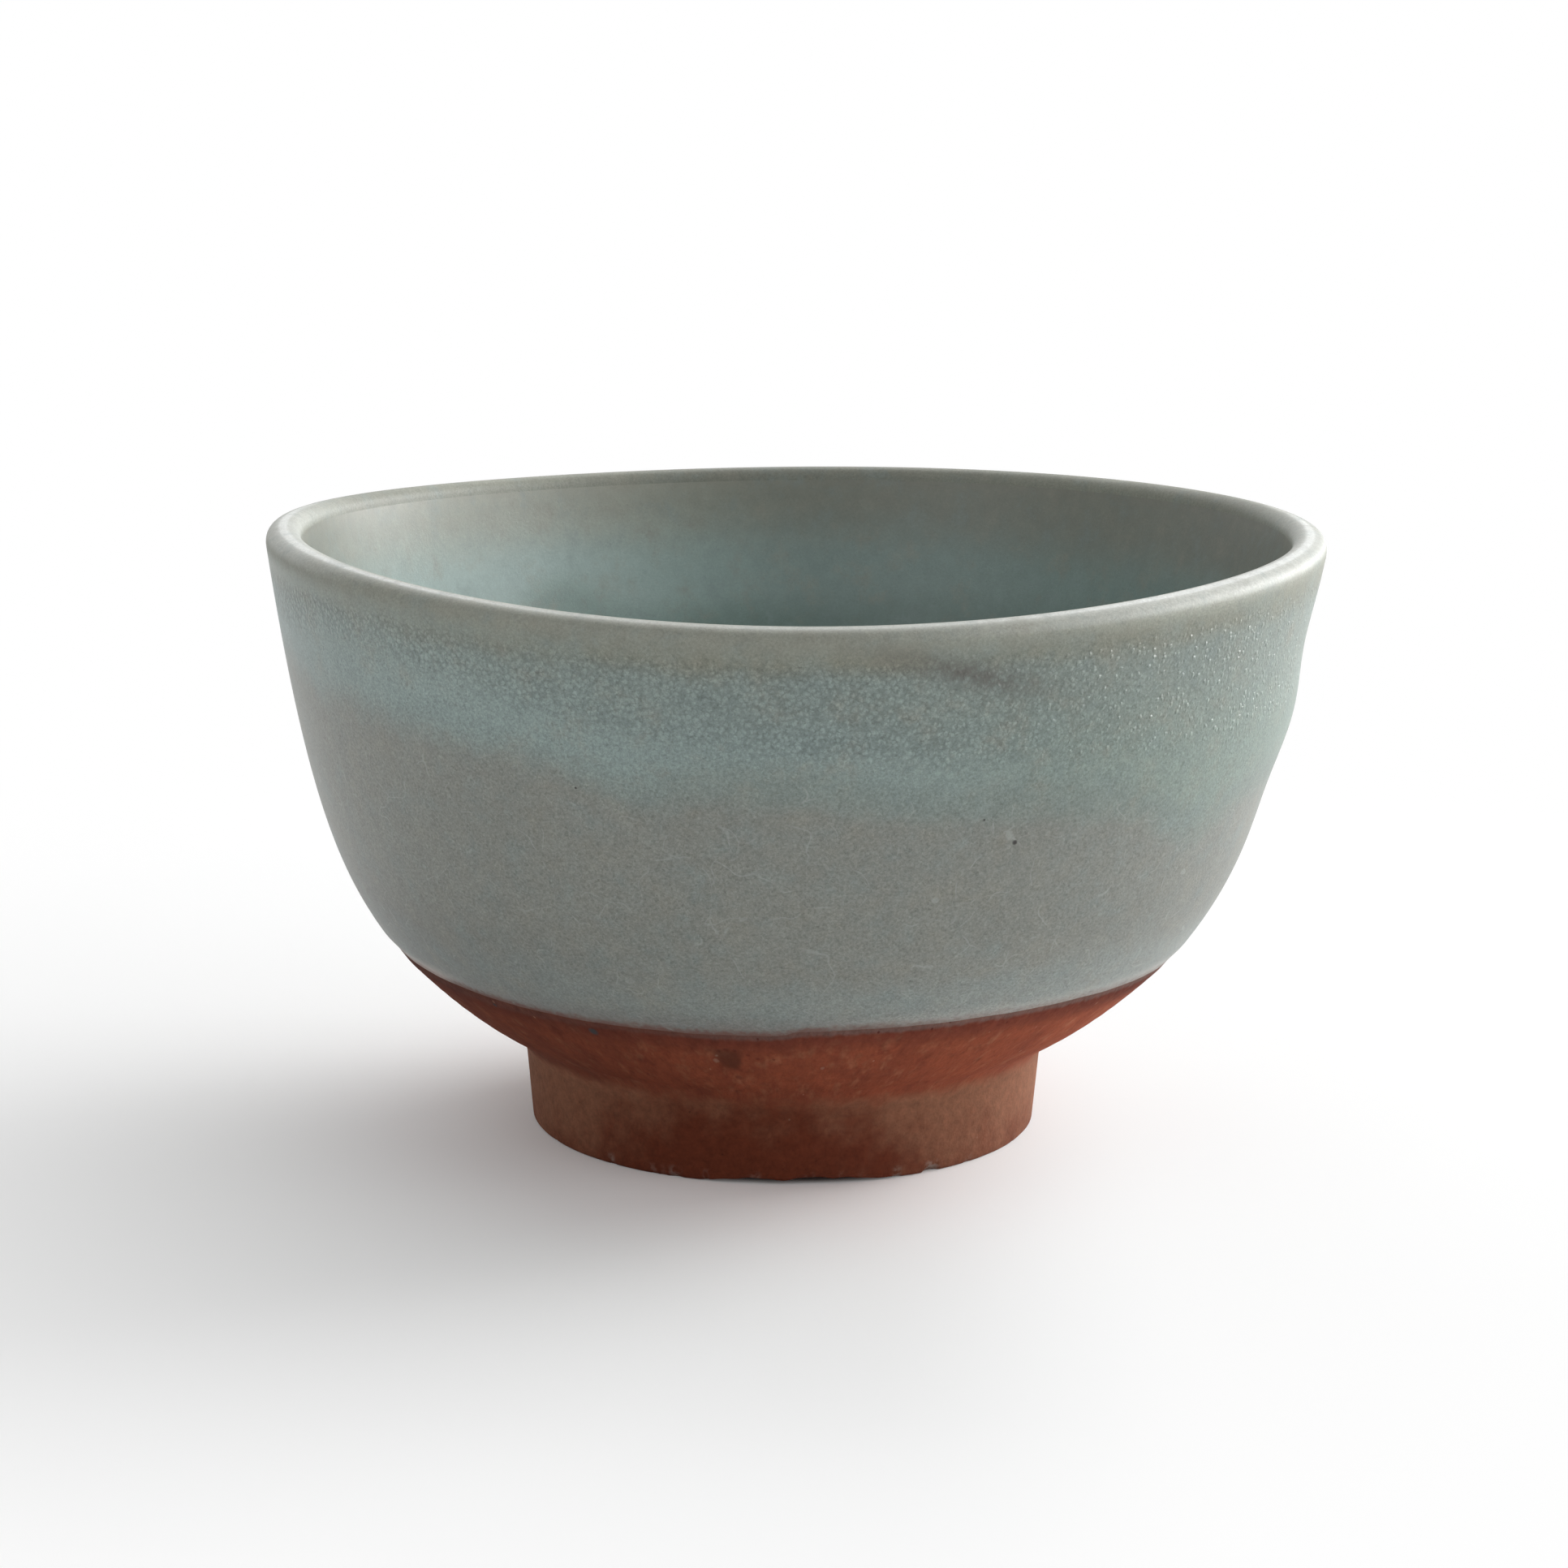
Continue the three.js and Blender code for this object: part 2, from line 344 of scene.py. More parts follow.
@contextmanager
def editing() -> Iterator[None]:
    """Edit mode on the active object, with its whole mesh selected."""
    bpy.ops.object.mode_set(mode="EDIT")
    bpy.ops.mesh.select_all(action="SELECT")
    yield
    bpy.ops.object.mode_set(mode="OBJECT")


class Wheel:
    """The potter's wheel: turns outlines into closed meshes and shapes them by hand."""

    WELD = 1e-6
    CREASE = math.radians(55)

    @classmethod
    def turn(cls, name: str, outline: np.ndarray, segments: int) -> bpy.types.Object:
        """Turns an outline about the axis.

        Args:
            name: name of the new piece.
            outline: radius and height of each point, closed or with both ends on the axis.
            segments: steps round the axis.

        Returns:
            The turned piece, closed and smooth.
        """
        places = [Vector((radius, 0, height)) * MM for radius, height in outline]
        bpy.ops.object.select_all(action="DESELECT")
        bpy.ops.mesh.primitive_plane_add(size=MM, location=(0, 0, 0))
        piece = bpy.context.object
        piece.name = name
        piece.data.name = name
        with editing():
            bpy.ops.mesh.merge(type="CENTER")
            bpy.ops.transform.translate(value=places[0])
            for start, end in zip(places, places[1:]):
                bpy.ops.mesh.extrude_vertices_move(TRANSFORM_OT_translate={"value": end - start})
        turn = piece.modifiers.new("turn", "SCREW")
        turn.axis = "Z"
        turn.angle = FULL_TURN
        turn.steps = segments
        turn.render_steps = segments
        bpy.ops.object.modifier_apply(modifier=turn.name)
        with editing():
            bpy.ops.mesh.remove_doubles(threshold=cls.WELD)
            bpy.ops.mesh.normals_make_consistent(inside=False)
        bpy.ops.object.shade_smooth_by_angle(angle=cls.CREASE)
        return piece

    @staticmethod
    def places(piece: bpy.types.Object) -> np.ndarray:
        """Where a piece's vertices are.

        Args:
            piece: the piece.

        Returns:
            Their places in millimetres, one row each.
        """
        flat = np.empty(len(piece.data.vertices) * 3, np.float32)
        piece.data.vertices.foreach_get("co", flat)
        return flat.reshape(-1, 3).astype(float) / MM

    @classmethod
    def shape(cls, piece: bpy.types.Object, mould: Mould) -> None:
        """Moves every vertex of a turned piece, then warps it as the kiln does.

        Args:
            piece: a piece fresh from the wheel.
            mould: gives new radii, angles and heights for the old ones.
        """
        x, y, height = cls.places(piece).T
        moved = mould(np.hypot(x, y), np.arctan2(y, x), height)
        cls.note(piece, "height", moved[2])
        places = np.stack(FORM.fired(*moved), 1) * MM
        piece.data.vertices.foreach_set("co", places.astype(np.float32).ravel())
        piece.data.update()

    @staticmethod
    def note(piece: bpy.types.Object, name: str, values: np.ndarray) -> None:
        """Keeps one number for each vertex, which the finish reads by name."""
        layer = piece.data.attributes.new(name, "FLOAT", "POINT")
        layer.data.foreach_set("value", values.astype(np.float32))

    @staticmethod
    def noted(piece: bpy.types.Object, name: str) -> np.ndarray:
        """The numbers that a piece keeps under a name.

        Args:
            piece: the piece.
            name: the name.

        Returns:
            One number for each vertex.
        """
        values = np.empty(len(piece.data.vertices), np.float32)
        piece.data.attributes[name].data.foreach_get("value", values)
        return values

    @classmethod
    def note_below_glaze(cls, piece: bpy.types.Object) -> None:
        """Keeps how far each vertex is below the lower edge of the outside glaze.

        Args:
            piece: a piece that already keeps its heights.
        """
        x, y, _ = cls.places(piece).T
        line = GLAZE_LINE.heights(np.arctan2(y, x))
        cls.note(piece, "below_glaze", line - cls.noted(piece, "height"))


# Shader nodes

class Field:
    """A number that varies over a surface: a socket on which arithmetic adds Math nodes."""

    def __init__(self, board: "NodeBoard", socket: bpy.types.NodeSocket) -> None:
        """Wraps an output socket of a board's node."""
        self.board = board
        self.socket = socket

    def _math(self, operation: str, *terms: Number) -> "Field":
        """Adds one Math node that works on the given terms."""
        return self.board.field("ShaderNodeMath", {"operation": operation}, dict(enumerate(terms)))

    def __add__(self, other: Number) -> "Field":
        """Sum."""
        return self._math("ADD", self, other)

    def __radd__(self, other: Number) -> "Field":
        """Sum, with the number first."""
        return self._math("ADD", other, self)

    def __sub__(self, other: Number) -> "Field":
        """Difference."""
        return self._math("SUBTRACT", self, other)

    def __rsub__(self, other: Number) -> "Field":
        """Difference, with the number first."""
        return self._math("SUBTRACT", other, self)

    def __mul__(self, other: Number) -> "Field":
        """Product."""
        return self._math("MULTIPLY", self, other)

    def __rmul__(self, other: Number) -> "Field":
        """Product, with the number first."""
        return self._math("MULTIPLY", other, self)

    def __truediv__(self, other: Number) -> "Field":
        """Quotient."""
        return self._math("DIVIDE", self, other)

    def __pow__(self, other: Number) -> "Field":
        """Power."""
        return self._math("POWER", self, other)

    def __neg__(self) -> "Field":
        """Opposite."""
        return self._math("MULTIPLY", self, -1.0)

    def cos(self) -> "Field":
        """Cosine of an angle in radians."""
        return self._math("COSINE", self)

    def sin(self) -> "Field":
        """Sine of an angle in radians."""
        return self._math("SINE", self)

    def exp(self) -> "Field":
        """Exponential."""
        return self._math("EXPONENT", self)

    def arctan2(self, other: Number) -> "Field":
        """Angle whose sine is along this value and whose cosine is along the other."""
        return self._math("ARCTAN2", self, other)

    def hypot(self, other: "Field") -> "Field":
        """Length of the line whose two runs are this value and the other."""
        return (self * self + other * other) ** 0.5

    def clip(self) -> "Field":
        """The value held between 0 and 1."""
        return self._math("MINIMUM", self._math("MAXIMUM", self, 0.0), 1.0)

    def step(self, low: Number, high: Number) -> "Field":
        """A smooth step from 0 to 1 as the value goes from low to high, or down if low is the higher."""
        settings = {"interpolation_type": "SMOOTHSTEP"}
        return self.board.field("ShaderNodeMapRange", settings, {0: self, 1: low, 2: high})


Paint = Union[Colour, bpy.types.NodeSocket]


class NodeBoard:
    """The nodes of one material or of the world, each added by one method."""

    SPOT_CORE = 0.4
    CHANCE_EDGE = 0.02

    def __init__(self, tree: bpy.types.NodeTree) -> None:
        """Clears a node tree and takes it over."""
        self.tree = tree
        self.tree.nodes.clear()

    @classmethod
    def material(cls, name: str) -> tuple[bpy.types.Material, "NodeBoard"]:
        """Starts a new material.

        Args:
            name: its name.

        Returns:
            The material and the board of its nodes.
        """
        material = bpy.data.materials.new(name)
        material.use_nodes = True
        return material, cls(material.node_tree)

    def node(self, kind: str, settings: Mapping[str, Any], sockets: Mapping[Any, Any]) -> bpy.types.Node:
        """Adds a node.

        Args:
            kind: the node's type.
            settings: its properties, which are set first.
            sockets: values or links for its inputs, by name or place.

        Returns:
            The new node.
        """
        node = self.tree.nodes.new(kind)
        for name, setting in settings.items():
            setattr(node, name, setting)
        for place, value in sockets.items():
            socket = node.inputs[place]
            source = value.socket if isinstance(value, Field) else value
            if isinstance(source, bpy.types.NodeSocket):
                self.tree.links.new(source, socket)
            elif isinstance(source, tuple) and socket.type == "RGBA":
                socket.default_value = (*source, 1.0)
            else:
                socket.default_value = source
        return node

    def field(self, kind: str, settings: Mapping[str, Any], sockets: Mapping[Any, Any],
              output: Union[int, str] = 0) -> Field:
        """Adds a node and returns one of its outputs as a number."""
        return Field(self, self.node(kind, settings, sockets).outputs[output])

    def vectors(self, operation: str, sockets: Mapping[Any, Any]) -> bpy.types.NodeSocket:
        """Adds one Vector Math node."""
        return self.node("ShaderNodeVectorMath", {"operation": operation}, sockets).outputs[0]

    def places(self) -> bpy.types.NodeSocket:
        """Object coordinates in millimetres."""
        coordinates = self.node("ShaderNodeTexCoord", {}, {}).outputs["Object"]
        return self.vectors("SCALE", {0: coordinates, "Scale": 1 / MM})

    def stirred(self, at: bpy.types.NodeSocket, size: float, reach: float) -> bpy.types.NodeSocket:
        """Places moved to and fro.

        Args:
            at: places in millimetres.
            size: size of the lumps of the noise that moves them.
            reach: how far the noise moves them at its strongest.

        Returns:
            The moved places.
        """
        sockets = {"Vector": at, "Scale": 1 / size, "Detail": 1.0}
        wander = self.node("ShaderNodeTexNoise", {}, sockets).outputs[1]
        centred = self.vectors("SUBTRACT", {0: wander, 1: (0.5, 0.5, 0.5)})
        return self.vectors("MULTIPLY_ADD", {0: centred, 1: (2 * reach,) * 3, 2: at})

    def between(self, first: bpy.types.NodeSocket, second: bpy.types.NodeSocket,
                share: Number) -> bpy.types.NodeSocket:
        """Places between two sets of places, from the first at 0 to the second at 1."""
        sockets = {0: share, 4: first, 5: second}
        return self.node("ShaderNodeMix", {"data_type": "VECTOR"}, sockets).outputs[1]

    def parts(self, vector: bpy.types.NodeSocket) -> tuple[Field, Field, Field]:
        """The three numbers of a vector."""
        node = self.node("ShaderNodeSeparateXYZ", {}, {0: vector})
        return tuple(Field(self, output) for output in node.outputs)

    def noted(self, name: str) -> Field:
        """A number that the mesh keeps for each vertex."""
        return self.field("ShaderNodeAttribute", {"attribute_name": name}, {}, "Fac")

    def noise(self, at: bpy.types.NodeSocket, size: float, detail: float = 2.0, rough: float = 0.5,
              twist: float = 0.0) -> Field:
        """Cloudy noise round 0.5.

        Args:
            at: places in millimetres.
            size: size of its lumps, in millimetres.
            detail: how many finer layers it has.
            rough: strength of each finer layer against the one before.
            twist: how far it is stirred.

        Returns:
            The noise.
        """
        sockets = {"Vector": at, "Scale": 1 / size, "Detail": detail, "Roughness": rough,
                   "Distortion": twist}
        return self.field("ShaderNodeTexNoise", {}, sockets)

    def cells(self, at: bpy.types.NodeSocket, size: float) -> tuple[Field, Field]:
        """Distance from the middles of cells, in cell sizes, and a number that differs from cell to cell."""
        node = self.node("ShaderNodeTexVoronoi", {}, {"Vector": at, "Scale": 1 / size})
        return Field(self, node.outputs["Distance"]), self.parts(node.outputs["Color"])[0]

    def rims(self, at: bpy.types.NodeSocket, size: float) -> Field:
        """Distance from the borders of cells, in cell sizes."""
        settings = {"feature": "DISTANCE_TO_EDGE"}
        return self.field("ShaderNodeTexVoronoi", settings, {"Vector": at, "Scale": 1 / size}, "Distance")

    def mix(self, start: Paint, end: Paint, share: Number) -> bpy.types.NodeSocket:
        """A colour part of the way from one colour to another."""
        return self.node("ShaderNodeMix", {"data_type": "RGBA"}, {0: share, 6: start, 7: end}).outputs[2]

    def shade(self, paint: Paint, strength: Number) -> bpy.types.NodeSocket:
        """A colour made lighter or darker by a factor."""
        return self.vectors("SCALE", {0: paint, "Scale": strength})

    def spots(self, at: bpy.types.NodeSocket, size: float, radius: float, kept: float) -> Field:
        """Scattered round spots.

        Args:
            at: places in millimetres.
            size: mean distance between the places where a spot may be.
            radius: radius of a spot, as a share of that distance.
            kept: share of the places that have a spot.

        Returns:
            1 in the middle of a spot, falling to 0 at its edge.
        """
        distance, chance = self.cells(at, size)
        return distance.step(radius, radius * self.SPOT_CORE) * chance.step(kept, kept - self.CHANCE_EDGE)

    def blend(self, share: Number, first: bpy.types.Node, second: bpy.types.Node) -> bpy.types.NodeSocket:
        """A shader part of the way from one shader to another."""
        sockets = {0: share, 1: first.outputs[0], 2: second.outputs[0]}
        return self.node("ShaderNodeMixShader", {}, sockets).outputs[0]

    def finish(self, paint: Paint, rough: Number, gloss: float, relief: Field, depth: float) -> None:
        """Ends the tree with a rough dielectric surface.

        Args:
            paint: its colour.
            rough: its roughness.
            gloss: strength of its reflections, 0.5 for glass and less for dry clay.
            relief: height of the fine relief, from 0 to 1.
            depth: height in millimetres for a relief of 1.
        """
        bump = self.node("ShaderNodeBump", {}, {"Height": relief, "Distance": depth * MM, "Strength": 1.0})
        sockets = {"Base Color": paint, "Roughness": rough, "Normal": bump.outputs[0],
                   "Specular IOR Level": gloss}
        surface = self.node("ShaderNodeBsdfPrincipled", {}, sockets)
        self.node("ShaderNodeOutputMaterial", {}, {"Surface": surface.outputs[0]})


# Finishes

class Wall:
    """The bowl's surface as a finish sees it: places, bearings and heights."""

    MARK_CORE = 0.2

    def __init__(self, board: NodeBoard) -> None:
        """Adds the nodes that tell where each place is.

        Args:
            board: the board of the finish.
        """
        self.board = board
        self.at = board.places()
        x, y, _ = board.parts(self.at)
        self.reach = x.hypot(y)
        self.height = board.noted("height")
        self.bearing = x.arctan2(-y)
        self.across = self.bearing.sin()
        self.ahead = self.bearing.cos()

    def towards(self, bearing: float) -> Field:
        """1 at a bearing given in degrees, falling to -1 opposite it."""
        return (self.bearing - math.radians(bearing)).cos()

    def around(self, bearing: float, width: float) -> Field:
        """1 at a bearing, falling smoothly to 0 away from it, with bearing and width in degrees."""
        sharpness = 1 / (1 - math.cos(math.radians(width)))
        return ((self.towards(bearing) - 1) * sharpness).exp()

    def rolled(self, reach: float, squeeze: float) -> bpy.types.NodeSocket:
        """Places on an upright cylinder, so that marks run down a slope.

        Args:
            reach: radius of the cylinder.
            squeeze: millimetres on the cylinder for each millimetre of height.

        Returns:
            The places in millimetres.
        """
        sockets = {0: self.across * reach, 1: self.ahead * reach, 2: self.height * squeeze}
        return self.board.node("ShaderNodeCombineXYZ", {}, sockets).outputs[0]

    def marks(self, specks: Sequence["Speck"], reach: float, shift: Number = 0.0) -> Field:
        """Round marks at given places.

        Args:
            specks: the marks.
            reach: radius of the surface there.
            shift: how far down the marks are pushed, which can make their outlines ragged.

        Returns:
            1 in a mark, falling to 0 at its edge.
        """
        total: Number = 0.0
        for speck in specks:
            side = (self.bearing - math.radians(speck.bearing)) * reach
            rise = self.height + shift - speck.height
            core = speck.radius * self.MARK_CORE
            total = (side * side + rise * rise).step(speck.radius ** 2, core ** 2) + total
        return total.clip()


class GlazeSide(Enum):
    """Which side of the wall a coat of glaze is on."""

    OUTSIDE = "outside"
    INSIDE = "inside"


@dataclass(frozen=True)
class Drip:
    """A place where the blue band of the glaze ran down before it set, or up if the depth is negative.

    The bearing and the width are in degrees, the depth in millimetres.
    """

    bearing: float
    depth: float
    width: float


@dataclass(frozen=True)
class Speck:
    """A round mark at a bearing in degrees: iron in the glaze, or a splash, chip or pit on the clay."""

    bearing: float
    height: float
    radius: float


@dataclass(frozen=True)
class Celadon:
    """Satin grey-green glaze, as it is outside unless other values are given.

    A pebbled blue band ran down from the lip, which is pale, with a painted highlight along its crown,
    painted sheen at its sides and painted shade behind. Below the band the glaze is finely grained, and its
    lower edge thins out over the clay. Painted light round a bearing darkens the right outside and lights
    the left wall inside. A zone is the two heights between which a look comes, from the first to the second.
    """

    side: GlazeSide = GlazeSide.OUTSIDE
    lip: Colour = (0.285, 0.297, 0.250)
    # Painted shade: the lip is darker behind
    back_lip: Colour = (0.200, 0.207, 0.170)
    # Painted highlight along the crown of the lip, and painted sheen on its top at the sides
    crown: Colour = (0.76, 0.78, 0.75)
    under_lip: Colour = (0.231, 0.236, 0.185)
    pebbled: Colour = (0.243, 0.287, 0.257)
    blue: Colour = (0.252, 0.320, 0.304)
    turquoise: Colour = (0.238, 0.298, 0.262)
    grey: Colour = (0.236, 0.248, 0.222)
    low_blue: Colour = (0.243, 0.272, 0.253)
    seam: Colour = (0.208, 0.252, 0.228)
    edge: Colour = (0.180, 0.170, 0.155)
    pale_edge: Colour = (0.535, 0.505, 0.465)
    rosy_edge: Colour = (0.640, 0.520, 0.470)
    thin: Colour = (0.150, 0.070, 0.055)
    warm: Colour = (0.262, 0.252, 0.205)
    cool: Colour = (0.205, 0.262, 0.255)
    hair: Colour = (0.36, 0.38, 0.36)
    smoke: Colour = (0.11, 0.105, 0.092)
    iron: Colour = (0.03, 0.028, 0.025)
    band_height: float = 50.2
    band_slope: float = 6.3
    band_wander: float = 2.4
    band_lumps: float = 5.0
    fade_height: float = 65.5
    grain_strength: float = 1.5
    # Painted light round a bearing: its strength, below 0 for painted shade, where it is strongest, how far
    # round it reaches and between which heights
    painted_light_strength: float = -0.08
    painted_light_bearing: float = 45.0
    painted_light_from: float = 0.3
    painted_light_zone: Span = (0.0, 1.0)
    painted_light_end_zone: Span = (61.0, 65.0)
    rim_zone: Span = (24.4, BowlForm.glaze_line_height)
    low_blue_zone: Span = (30.0, 25.5)
    low_light_zone: Span = (36.0, 24.0)
    low_shade_zone: Span = (40.0, 28.0)
    tan_zone: Span = (61.9, 64.6)
    lip_zone: Span = (64.6, 67.0)
    lip_calm_zone: Span = (64.0, 66.2)
    lip_dry_zone: Span = (65.0, 66.6)
    lip_shade_zone: Span = (58.0, 62.0)
    # Heights of the painted sheen on the top of the lip at its sides
    lip_sheen_zone: Span = (66.5, 67.4)
    pale_bearing: float = -38.0
    pale_width: float = 19.188
    drips: tuple[Drip, ...] = (
        Drip(-16, 2.4, 6), Drip(14, 0.9, 8), Drip(52, 3.4, 9), Drip(110, 2.6, 10), Drip(160, 2.0, 7),
        Drip(-150, 2.8, 9), Drip(-105, 2.2, 7), Drip(-62, 1.2, 6), Drip(17, -1.0, 26), Drip(-38, 0.8, 14),
    )
    specks: tuple[Speck, ...] = (
        Speck(24.6, 43.7, 0.36), Speck(20.6, 46.6, 0.16), Speck(-22.6, 49.6, 0.16), Speck(98, 38, 0.3),
        Speck(171, 47, 0.28), Speck(-120, 33, 0.25),
    )
    iron_reach: float = 53.0
    smudge_bearing: float = 17.2
    smudge_height: float = 63.0
    smudge_length: float = 7.8
    smudge_slant: float = 16.0
    pebble_size: float = 0.58
    pebble_height: float = 53.7
    pebble_end_zone: Span = (65.2, 63.6)
    pebble_strength: float = 1.0
    plain_bearing: float = -48.0
    plain_width: float = 22.62
    roughness: float = 0.40
    gloss: float = 0.45
    relief_depth: float = 0.13

    @property
    def outside(self) -> bool:
        """Whether this is the coat on the outside."""
        return self.side is GlazeSide.OUTSIDE

    def material(self) -> bpy.types.Material:
        """Makes the glaze.

        Returns:
            Its material.
        """
        material, board = NodeBoard.material(f"celadon_{self.side.value}")
        wall = Wall(board)
        at, height = wall.at, wall.height
        broad = board.noise(at, 16, 2) - 0.5
        cloud = board.noise(at, 1.8, 3, 0.65) - 0.5
        grain = board.noise(at, 0.30, 3, 0.65, 0.8) - 0.5
        edge = self._band_edge(wall)
        zone, domes, gaps = self._pebbles(wall)
        paint = self._bands(wall, edge, broad)
        # Painted light round a bearing, weaker near the lip: outside it darkens the right, inside it lights
        # the left wall
        painted_light = wall.towards(self.painted_light_bearing).step(self.painted_light_from, 1.0) * height.step(*self.painted_light_zone)
        painted_light = painted_light * (1 - height.step(*self.painted_light_end_zone) * 0.22)
        paint = board.shade(paint, 1 + painted_light * self.painted_light_strength)
        tint = board.noise(at, 4.0, 4, 0.7)
        paint = board.mix(paint, self.warm, tint.step(0.48, 0.78) * 0.45)
        paint = board.mix(paint, self.cool, tint.step(0.52, 0.22) * 0.45)
        calm = 1 - height.step(*self.lip_calm_zone) * 0.45
        mottle = 1 + grain * calm * self.grain_strength + cloud * 0.34 + broad * 0.10
        paint = board.shade(paint, mottle - self._worms(wall) * 0.08)
        # Painted light and shade over the pebbles: lighter tops and darker gaps between them
        paint = board.shade(paint, 1 + zone * (domes * 0.13 - gaps * 0.20))
        rough = self.roughness + grain * 0.10 - domes * zone * 0.08
        if self.outside:
            hairs = self._hairs(wall) * (height - edge).step(3, -1)
            paint = board.mix(paint, self.hair, hairs * 0.42)
            lumps = board.noise(at, 0.7, 2, 0.6) - 0.5
            ragged = board.noted("below_glaze") + grain * 0.8 + cloud * 0.9 + lumps * 1.1
            thinned = ragged.step(-1.10, 0.05)
            paint = board.mix(paint, self.thin, thinned * (0.92 - self._pale_sides(wall) * 0.60))
            paint = board.mix(paint, self.smoke, self._smudge(wall) * 0.88)
            paint = board.mix(paint, self.iron, wall.marks(self.specks, self.iron_reach))
            rough = rough + thinned * 0.40 + height.step(*self.lip_dry_zone) * 0.14
        relief = 0.3 + (domes * 0.80 - gaps * 0.12) * zone + grain * 0.22 + cloud * 0.20
        board.finish(paint, rough, self.gloss, relief, self.relief_depth)
        return material

    def _band_edge(self, wall: Wall) -> Field:
        """Where the blue band ends below.

        Args:
            wall: the surface.

        Returns:
            The height of its lower edge.
        """
        edge = self.band_height - wall.across * self.band_slope
        for drip in self.drips:
            edge = edge - wall.around(drip.bearing, drip.width) * drip.depth
        return edge + (wall.board.noise(wall.at, self.band_lumps, 2) - 0.5) * self.band_wander

    def _bands(self, wall: Wall, edge: Field, broad: Field) -> bpy.types.NodeSocket:
        """Colour of the glaze in bands that run into one another, from the lower edge up to the lip.

        Args:
            wall: the surface.
            edge: height of the lower edge of the blue band.
            broad: slow noise round 0.

        Returns:
            The colour.
        """
        board, height, across = wall.board, wall.height, wall.across
        right = across.step(0.0, 0.75)
        above = height - edge
        paint = board.mix(self.grey, self.low_blue, (height + broad * 6).step(*self.low_blue_zone))
        if self.outside:
            paint = self._low_edge(wall, paint)
        band = board.mix(self.blue, self.turquoise, right)
        paint = board.mix(paint, band, above.step(-3.4, 2.2))
        if self.outside:
            seam = above.step(-3.5, -0.5) * above.step(3.5, 0.8) * across.step(-0.6, 0.0)
            paint = board.mix(paint, self.seam, seam * 0.6)
        rise = above / (self.fade_height - edge) + broad * 0.3
        paint = board.mix(paint, self.pebbled, rise.step(0.25, 0.85) * (0.50 + right * 0.50))
        tan = (height + broad * 2).step(*self.tan_zone)
        if self.outside:
            pale = wall.around(self.pale_bearing, self.pale_width) * above.step(0, 5)
            paint = board.shade(paint, 1 + pale * 0.10)
            patch = board.noise(wall.at, 7, 2).step(0.32, 0.62) * across.step(-0.9, 0.0)
            tan = tan * (0.42 + patch * 0.52)
        return self._lip(wall, board.mix(paint, self.under_lip, tan), right)

    def _low_edge(self, wall: Wall, paint: Paint) -> bpy.types.NodeSocket:
        """The lowest glaze outside: painted light on the right, painted shade on the left and round the
        sides, with a rim that turns pale at the sides.

        Args:
            wall: the surface.
            paint: colour of the glaze above.

        Returns:
            The colour.
        """
        board, height, across = wall.board, wall.height, wall.across
        # Painted light on the right and painted shade on the left and round the sides, low on the wall
        turned = 1 - wall.ahead.step(0.2, 1.0)
        light = across * height.step(*self.low_light_zone) * 0.20
        paint = board.shade(paint, 1 + light - turned * height.step(*self.low_shade_zone) * 0.24)
        pale = board.mix(self.pale_edge, self.rosy_edge, across.step(-0.5, -0.8))
        rim = board.mix(self.edge, pale, self._pale_sides(wall))
        return board.mix(paint, rim, height.step(*self.rim_zone) * 0.7)

    def _lip(self, wall: Wall, paint: Paint, right: Field) -> bpy.types.NodeSocket:
        """Puts the pale lip on the glaze, with painted shade behind, painted light and shade round its
        sides, and a painted highlight along its crown.

        Args:
            wall: the surface.
            paint: colour of the glaze below.
            right: 1 on the right of the bowl and 0 on the left.

        Returns:
            The colour.
        """
        board, height, across, ahead = wall.board, wall.height, wall.across, wall.ahead
        # Painted shade: the lip is darker behind
        lip = board.mix(self.back_lip, self.lip, ahead.step(-0.4, 0.4))
        if self.outside:
            # Painted light on the right, painted shade at the far sides and a painted sheen at the back left
            far = across.step(0.72, 0.92) * 0.18 + across.step(-0.70, -0.88) * 0.09
            behind = across.step(-0.10, -0.70) * ahead.step(0.25, -0.10)
            lip = board.shade(lip, 0.94 + right * 0.26 - far + behind * 0.34)
        paint = board.mix(paint, lip, height.step(*self.lip_zone))
        # Painted highlight along the crown, and painted sheen over the top of the lip at the sides
        sideways = (across ** 2).step(0.02, 0.5)
        wear_and_sheen = height.step(*self.lip_sheen_zone) * (right + across.step(-0.72, -0.94))
        bare_and_highlight = board.noted("crown") * (0.48 + sideways * 0.50) + wear_and_sheen * 0.38
        paint = board.mix(paint, self.crown, (bare_and_highlight * ahead.step(-0.5, 0.1)).clip())
        if not self.outside:
            shaded = across.step(0.78, 0.96) * height.step(*self.lip_shade_zone)
            paint = board.shade(paint, 1 - shaded * 0.17)
        return paint

    @staticmethod
    def _pale_sides(wall: Wall) -> Field:
        """1 at the sides, where the lower edge of the glaze is pale, and 0 in front."""
        return (wall.across.step(-0.05, 0.60) + wall.across.step(-0.74, -0.86)).clip()

